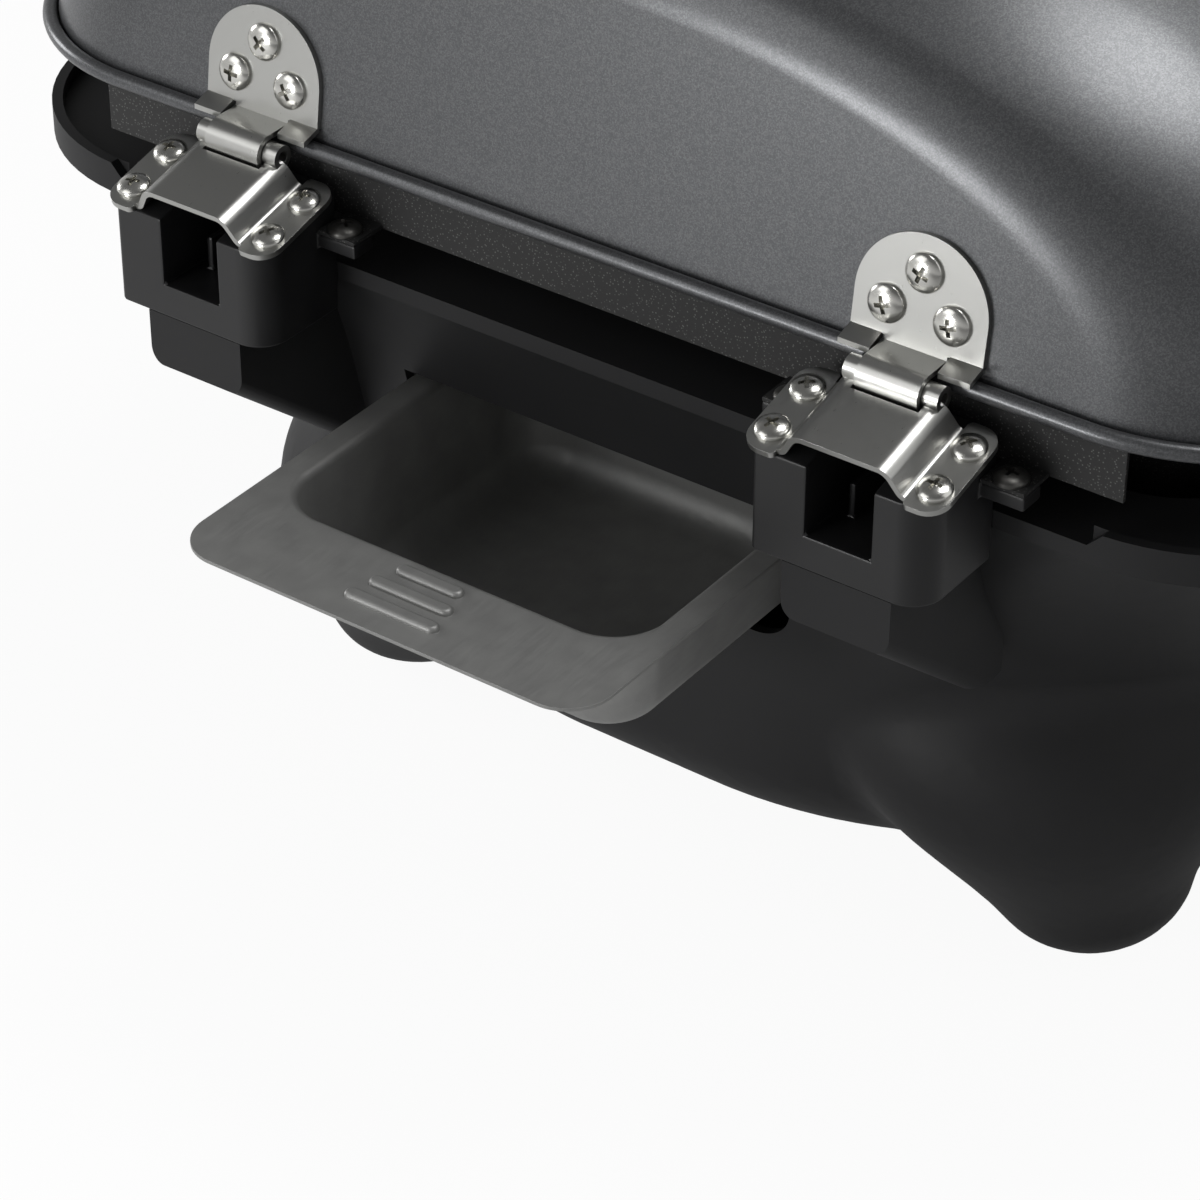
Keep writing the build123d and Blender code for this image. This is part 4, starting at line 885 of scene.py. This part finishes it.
def bent_plate():
    """One plate in its own frame, with the hinge line along X through the origin."""
    bpy.ops.object.select_all(action="DESELECT")
    bpy.ops.mesh.primitive_plane_add(size=1)
    sheet = bpy.context.object
    sheet.scale = (plate_half - hat_foot, hat_length, 1)
    sheet.location = (-(plate_half + hat_foot) / 2, hat_length / 2, -knuckle_lift)
    bpy.ops.object.transform_apply()
    pick_edges(sheet, runs_along(hat_foot))
    for across, up in (
        (hat_foot - hat_half, hat_rise), (hat_half - plate_slot_half, 0), (2 * plate_slot_half, 0),
        (hat_half - plate_slot_half, 0), (hat_foot - hat_half, -hat_rise), (plate_half - hat_foot, 0),
    ):
        bpy.ops.mesh.extrude_region_move(TRANSFORM_OT_translate={"value": (across, 0, up)})
    bpy.ops.object.mode_set(mode="OBJECT")
    for line, bend in ((hat_half, top_bend), (hat_foot, foot_bend)):
        pick_edges(sheet, runs_along(line))
        bpy.ops.mesh.bevel(offset=bend, segments=bend_steps)
        bpy.ops.object.mode_set(mode="OBJECT")
    flange_end = plate_length - plate_lead
    for line, reach in ((0, -plate_lead), (hat_length, flange_end - hat_length)):
        pick_edges(sheet, lies_across(line))
        bpy.ops.mesh.extrude_region_move(TRANSFORM_OT_translate={"value": (0, reach, 0)})
        bpy.ops.object.mode_set(mode="OBJECT")
        pick_edges(sheet, lies_across(line))
        bpy.ops.mesh.dissolve_edges()
        bpy.ops.object.mode_set(mode="OBJECT")
    for test, radius in ((outer_end, plate_corner), (inner_end, inner_corner)):
        pick_corners(sheet, test)
        bpy.ops.mesh.bevel(offset=radius, segments=plate_corner_steps, affect="VERTICES")
        bpy.ops.object.mode_set(mode="OBJECT")
    pick_faces(sheet, lambda face: face.normal.z > facing and abs(face.center.x) < near_by)
    bpy.ops.mesh.bisect(plane_co=(0, plate_slot_end, 0), plane_no=(0, 1, 0))
    bpy.ops.object.mode_set(mode="OBJECT")
    pick_faces(sheet, lambda face: abs(face.center.x) < near_by and face.center.y < plate_slot_end)
    bpy.ops.mesh.delete(type="FACE")
    bpy.ops.object.mode_set(mode="OBJECT")
    apply_modifier(sheet, "SOLIDIFY", thickness=plate_sheet, offset=-1)
    bpy.ops.object.select_all(action="DESELECT")
    bpy.ops.mesh.primitive_circle_add(
        vertices=knuckle_sides, radius=knuckle_radius, fill_type="NGON",
        location=(-hat_half, 0, 0), rotation=(0, pi / 2, 0),
    )
    roll = bpy.context.object
    bpy.ops.object.transform_apply()
    bpy.ops.object.mode_set(mode="EDIT")
    bpy.ops.mesh.inset(thickness=knuckle_radius - knuckle_bore)
    bpy.ops.mesh.delete(type="FACE")
    bpy.ops.mesh.select_all(action="SELECT")
    bpy.ops.mesh.extrude_region_move(TRANSFORM_OT_translate={"value": (2 * hat_half, 0, 0)})
    bpy.ops.mesh.select_all(action="SELECT")
    bpy.ops.mesh.normals_make_consistent(inside=False)
    bpy.ops.object.mode_set(mode="OBJECT")
    joined([sheet, roll])
    apply_modifier(
        sheet, "BEVEL", width=sheet_round, segments=sheet_round_steps, limit_method="ANGLE",
        angle_limit=sheet_rim_angle,
    )
    even_shading(sheet, sheet_crease)
    return sheet


for side in ("right", "left"):
    plate_low, plate_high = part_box(f"hinge_plate_{side}")
    under_face = (knuckle_lift + plate_sheet) * sin(plate_tilt)
    hinge_line = Vector((
        (plate_low.x + plate_high.x) / 2,
        plate_low.y + plate_lead * cos(plate_tilt) + under_face,
        plate_high.z - knuckle_radius,
    ))
    plate = bent_plate()
    plate.name = f"hinge_plate_{side}_sheet"
    plate.data.transform(Matrix.Translation(hinge_line) @ Matrix.Rotation(-plate_tilt, 4, "X"))
    stand_for(plate, f"hinge_plate_{side}", "base", stainless)
plate_screws = set_of_screws("plate_screws", "plate_cross_screws", plate_up, **plate_screw)
stand_for(plate_screws, "plate_screws", "base", nickel)

# Lid: a dome pressed from steel sheet, with flat leaning end panels and a rolled bead round the rim.
# It is sprayed with charcoal flake paint, which shows a fine sparkle and a slight orange peel.
lid_low, lid_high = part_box("lid_shell")
bead_radius = 2.2 * mm
bead_corner_steps = 24
bead_round_steps = 6
lid_sheet = 1.5 * mm
lid_corner = 55 * mm
lid_columns = 128
lid_rows = 112
lid_crease = radians(40)
shoulder_rise = 76 * mm
shoulder_radius = 12 * mm
panel_lean = radians(7.5)
corner_share = 0.62
last_row = 0.999
half_lid_width = (lid_high.x - lid_low.x) / 2 - 2 * bead_radius
half_lid_depth = (lid_high.y - lid_low.y) / 2 - 2 * bead_radius
lid_y = (lid_high.y + lid_low.y) / 2
rim_height = lid_low.z + bead_radius
lid_rise = lid_high.z - rim_height
lid_flake = 0.34 * mm
lid_flake_depth = 0.04 * mm
lid_peel = 1.6 * mm
lid_peel_depth = 0.2 * mm


def lid_point(across, along):
    """A point of the lid's outer skin; both shares run from -1 to 1 over its width and depth."""
    end = 1 if along >= 0 else -1
    share = (1 - abs(along)) / corner_share
    beyond = (1 - abs(along) - corner_share) / (1 - corner_share)
    distance = lid_corner * share**2 if share < 1 else lid_corner + (half_lid_depth - lid_corner) * beyond
    near = max(1 - distance / lid_corner, 0)
    half_width = half_lid_width - lid_corner + lid_corner * sqrt(1 - near**2)
    crown = (lid_rise - shoulder_rise) * (1 - distance / half_lid_depth) ** 2
    inside = max(shoulder_radius - distance, 0)
    rise = lid_rise - crown - shoulder_radius + sqrt(shoulder_radius**2 - inside**2)
    turn = pi * (1 - across) / 2
    up = rise * sin(turn)
    lean = end * panel_lean * near
    return (
        half_width * cos(turn),
        lid_y + end * (half_lid_depth - distance) - up * sin(lean),
        rim_height + up * cos(lean),
    )


# Charcoal flake paint: a dark metallic grey with a fine sparkle under a thin, slightly wavy clear coat.
# The flakes are drawn coarser than real ones, so that they show.
flake_paint = new_material("charcoal_flake_paint")
place = add_node(flake_paint, "ShaderNodeTexCoord").outputs["Object"]
flakes = add_node(flake_paint, "ShaderNodeTexVoronoi", {"Vector": place, "Scale": 1 / lid_flake})
sparkle = add_node(
    flake_paint, "ShaderNodeMapRange",
    {"Value": flakes.outputs["Color"], "From Min": 0.3, "From Max": 0.9},
)
tone = add_node(
    flake_paint, "ShaderNodeMix",
    {mix_share: sparkle.outputs["Result"], mix_dark: linear("4f5052"), mix_pale: linear("646567")},
    data_type="RGBA",
)
glint = add_node(
    flake_paint, "ShaderNodeBump",
    {"Height": flakes.outputs["Color"], "Strength": 0.2, "Distance": lid_flake_depth},
)
peel = add_node(
    flake_paint, "ShaderNodeTexNoise", {"Vector": place, "Scale": 1 / lid_peel, "Detail": 2.0}
)
skin = add_node(
    flake_paint, "ShaderNodeBump",
    {
        "Height": peel.outputs["Fac"], "Strength": 0.08, "Distance": lid_peel_depth,
        "Normal": glint.outputs["Normal"],
    },
)
shader = add_node(
    flake_paint, "ShaderNodeBsdfPrincipled",
    {
        "Base Color": tone.outputs[mix_colour], "Metallic": 0.6, "Roughness": 0.33,
        "Normal": skin.outputs["Normal"], "Coat Weight": 0.2, "Coat Roughness": 0.25,
    },
)
add_node(flake_paint, "ShaderNodeOutputMaterial", {"Surface": shader.outputs["BSDF"]})

bpy.ops.object.select_all(action="DESELECT")
bpy.ops.mesh.primitive_grid_add(x_subdivisions=lid_columns, y_subdivisions=lid_rows, size=2)
lid = bpy.context.object
lid.name = "lid_pressing"
panel_rows = [
    [vertex.index for vertex in lid.data.vertices if end * vertex.co.y > last_row] for end in (1, -1)
]
for vertex in lid.data.vertices:
    vertex.co = lid_point(vertex.co.x, vertex.co.y)
for row in panel_rows:
    pick_nothing("VERT")
    for index in row:
        lid.data.vertices[index].select = True
    bpy.ops.object.mode_set(mode="EDIT")
    bpy.ops.mesh.edge_face_add()
    bpy.ops.object.mode_set(mode="OBJECT")
bpy.ops.object.mode_set(mode="EDIT")
bpy.ops.mesh.select_all(action="SELECT")
bpy.ops.mesh.normals_make_consistent(inside=False)
bpy.ops.object.mode_set(mode="OBJECT")
apply_modifier(lid, "SOLIDIFY", thickness=lid_sheet, offset=-1)

bpy.ops.object.select_all(action="DESELECT")
bpy.ops.mesh.primitive_plane_add(size=2, location=(0, lid_y, rim_height))
bead = bpy.context.object
bead.scale = (half_lid_width + bead_radius, half_lid_depth + bead_radius, 1)
bpy.ops.object.transform_apply()
bpy.ops.object.mode_set(mode="EDIT")
bpy.ops.mesh.select_all(action="SELECT")
bpy.ops.mesh.bevel(offset=lid_corner + bead_radius, segments=bead_corner_steps, affect="VERTICES")
bpy.ops.mesh.delete(type="ONLY_FACE")
bpy.ops.object.mode_set(mode="OBJECT")
bpy.ops.object.convert(target="CURVE")
bead.data.bevel_depth = bead_radius
bead.data.bevel_resolution = bead_round_steps
bpy.ops.object.convert(target="MESH")
joined([lid, bead])
bpy.ops.object.shade_smooth_by_angle(angle=lid_crease)
stand_for(lid, "lid_shell", "lid", flake_paint)

# Hinge leaves: D-shaped stainless plates on the lid's rear panel, each with a hook between two ears.
# Three screws with large pan heads go through each leaf into nuts inside the lid.
leaf_edge = 0.3 * mm
leaf_screw = {"head_radius": 5.1 * mm, "head_height": 2.6 * mm, "shank_radius": 2.4 * mm}
panel_out = Vector((0, cos(panel_lean), sin(panel_lean)))
for side in ("right", "left"):
    leaf = eased_copy(f"hinge_leaf_{side}", f"hinge_leaf_{side}_sheet", leaf_edge)
    stand_for(leaf, f"hinge_leaf_{side}", "lid", stainless)
leaf_screws = set_of_screws("leaf_screws", "leaf_cross_screws", panel_out, **leaf_screw)
stand_for(leaf_screws, "leaf_screws", "lid", nickel)
dress("leaf_nuts", nickel)

# Lid handle: a moulded grip bar on two turned stainless posts, screwed on from inside the lid.
# The grip is heat-proof phenolic plastic with a leathery grain.
grip_edge = 0.5 * mm
post_edge = 1.0 * mm
grip_grain = 1.4 * mm
grip_grain_depth = 0.2 * mm

# Grained phenolic: black and half dull, with small cells like leather that spread the highlight
grip_plastic = new_material("grained_phenolic")
place = add_node(grip_plastic, "ShaderNodeTexCoord").outputs["Object"]
grain = add_node(grip_plastic, "ShaderNodeTexVoronoi", {"Vector": place, "Scale": 1 / grip_grain})
tone = add_node(
    grip_plastic, "ShaderNodeMix",
    {mix_share: grain.outputs["Distance"], mix_dark: linear("141414"), mix_pale: linear("222223")},
    data_type="RGBA",
)
skin = add_node(
    grip_plastic, "ShaderNodeBump",
    {"Height": grain.outputs["Distance"], "Strength": 0.15, "Distance": grip_grain_depth},
)
shader = add_node(
    grip_plastic, "ShaderNodeBsdfPrincipled",
    {"Base Color": tone.outputs[mix_colour], "Roughness": 0.45, "Normal": skin.outputs["Normal"]},
)
add_node(grip_plastic, "ShaderNodeOutputMaterial", {"Surface": shader.outputs["BSDF"]})

grip = eased_copy("handle_grip", "handle_grip_moulding", grip_edge)
stand_for(grip, "handle_grip", "lid", grip_plastic)
posts = eased_copy("handle_posts", "handle_posts_turned", post_edge)
stand_for(posts, "handle_posts", "lid", stainless)
dress("handle_screws", nickel)

# Floor, light and camera: a wide sheet of white studio paper in a pale room, under five soft boxes.
# The camera stands behind and above the grill, where the photograph was taken from.
floor_size = 12
seen_share = 0.94
mirrored_share = 0.6
flag_reach = (-0.35, 0.25)
flag_level = (0.1, 0.75)
sky_height = (0.1, 0.7)
sky_level = (0.6, 0.14)
sky_side = (-0.8, 0.4)
sky_share = (0.75, 1.0)
lamp_aim = Vector((0, 0.1, 0.2))
camera_place = Vector((-0.5174, 0.8479, 0.7138))
camera_aim = Vector((-0.0377, 0.1803, 0.1445))
camera_roll = radians(0.23)
focal_length = 121.4
sensor_width = 36

# White paper: white to the camera apart from a faint shadow of the grill.
# Metal mirrors it less brightly, and least on the -X side, as if a dark flag lay there.
white_floor = new_material("white_paper")
rays = add_node(white_floor, "ShaderNodeLightPath")
mirrored = add_node(
    white_floor, "ShaderNodeMath", {0: rays.outputs["Is Glossy Ray"], 1: mirrored_share},
    operation="MULTIPLY",
)
seen = add_node(
    white_floor, "ShaderNodeMath", {0: rays.outputs["Is Camera Ray"], 1: seen_share},
    operation="MULTIPLY",
)
glow_share = add_node(
    white_floor, "ShaderNodeMath", {0: mirrored.outputs["Value"], 1: seen.outputs["Value"]},
    operation="MAXIMUM",
)
paper = add_node(white_floor, "ShaderNodeBsdfDiffuse", {"Color": linear("f4f4f4")})
place = add_node(white_floor, "ShaderNodeTexCoord").outputs["Object"]
floor_x = add_node(white_floor, "ShaderNodeSeparateXYZ", {"Vector": place}).outputs["X"]
flag = add_node(
    white_floor, "ShaderNodeMapRange",
    {
        "Value": floor_x, "From Min": flag_reach[0], "From Max": flag_reach[1],
        "To Min": flag_level[0], "To Max": flag_level[1],
    },
)
level = add_node(
    white_floor, "ShaderNodeMath", {0: rays.outputs["Is Camera Ray"], 1: flag.outputs["Result"]},
    operation="MAXIMUM",
)
glow = add_node(
    white_floor, "ShaderNodeEmission", {"Color": linear("ffffff"), "Strength": level.outputs["Value"]}
)
blend = add_node(
    white_floor, "ShaderNodeMixShader",
    {0: glow_share.outputs["Value"], 1: paper.outputs["BSDF"], 2: glow.outputs["Emission"]},
)
add_node(white_floor, "ShaderNodeOutputMaterial", {"Surface": blend.outputs["Shader"]})
bpy.ops.object.select_all(action="DESELECT")
bpy.ops.mesh.primitive_plane_add(size=floor_size)
floor = bpy.context.object
floor.name = "studio_floor"
floor.data.materials.append(white_floor)

# The room is palest at the horizon, darker overhead and a little darker towards -X
world = bpy.data.worlds.new("studio")
bpy.context.scene.world = world
world.use_nodes = True
world.node_tree.nodes.clear()
direction = add_node(world, "ShaderNodeTexCoord").outputs["Generated"]
split = add_node(world, "ShaderNodeSeparateXYZ", {"Vector": direction})
ceiling = add_node(
    world, "ShaderNodeMapRange",
    {
        "Value": split.outputs["Z"], "From Min": sky_height[0], "From Max": sky_height[1],
        "To Min": sky_level[0], "To Max": sky_level[1],
    },
)
side_fall = add_node(
    world, "ShaderNodeMapRange",
    {
        "Value": split.outputs["X"], "From Min": sky_side[0], "From Max": sky_side[1],
        "To Min": sky_share[0], "To Max": sky_share[1],
    },
)
sky = add_node(
    world, "ShaderNodeBackground",
    {"Color": ceiling.outputs["Result"], "Strength": side_fall.outputs["Result"]},
)
add_node(world, "ShaderNodeOutputWorld", {"Surface": sky.outputs["Background"]})

# Each soft box has a name, a place, a width and height in metres, and a power in watts
soft_boxes = (
    ("soft_box_low", (0.31, 1.13, 0.30), (0.28, 0.30), 3.6),
    ("soft_box_tall", (0.49, 0.85, 0.76), (0.60, 0.60), 1.7),
    ("soft_box_side", (1.15, 0.25, 0.42), (0.35, 0.35), 3.0),
    ("soft_box_overhead", (-0.33, -0.23, 1.52), (0.45, 0.60), 8.5),
    ("soft_box_fill", (-1.0, -0.1, 1.0), (1.0, 1.0), 2.4),
)
for name, spot, size, power in soft_boxes:
    bpy.ops.object.light_add(type="AREA", location=spot)
    lamp = bpy.context.object
    lamp.name = name
    lamp.data.shape = "RECTANGLE"
    lamp.data.size, lamp.data.size_y = size
    lamp.data.energy = power
    lamp.visible_camera = False
    lamp.rotation_mode = "QUATERNION"
    lamp.rotation_quaternion = (lamp_aim - Vector(spot)).to_track_quat("-Z", "Y")

bpy.ops.object.camera_add(location=camera_place)
camera = bpy.context.object
camera.rotation_mode = "QUATERNION"
camera.rotation_quaternion = (
    (camera_aim - camera_place).to_track_quat("-Z", "Y") @ Quaternion((0, 0, 1), camera_roll)
)
camera.data.lens = focal_length
camera.data.sensor_width = sensor_width
bpy.context.scene.camera = camera
bpy.context.scene.view_settings.view_transform = "Standard"
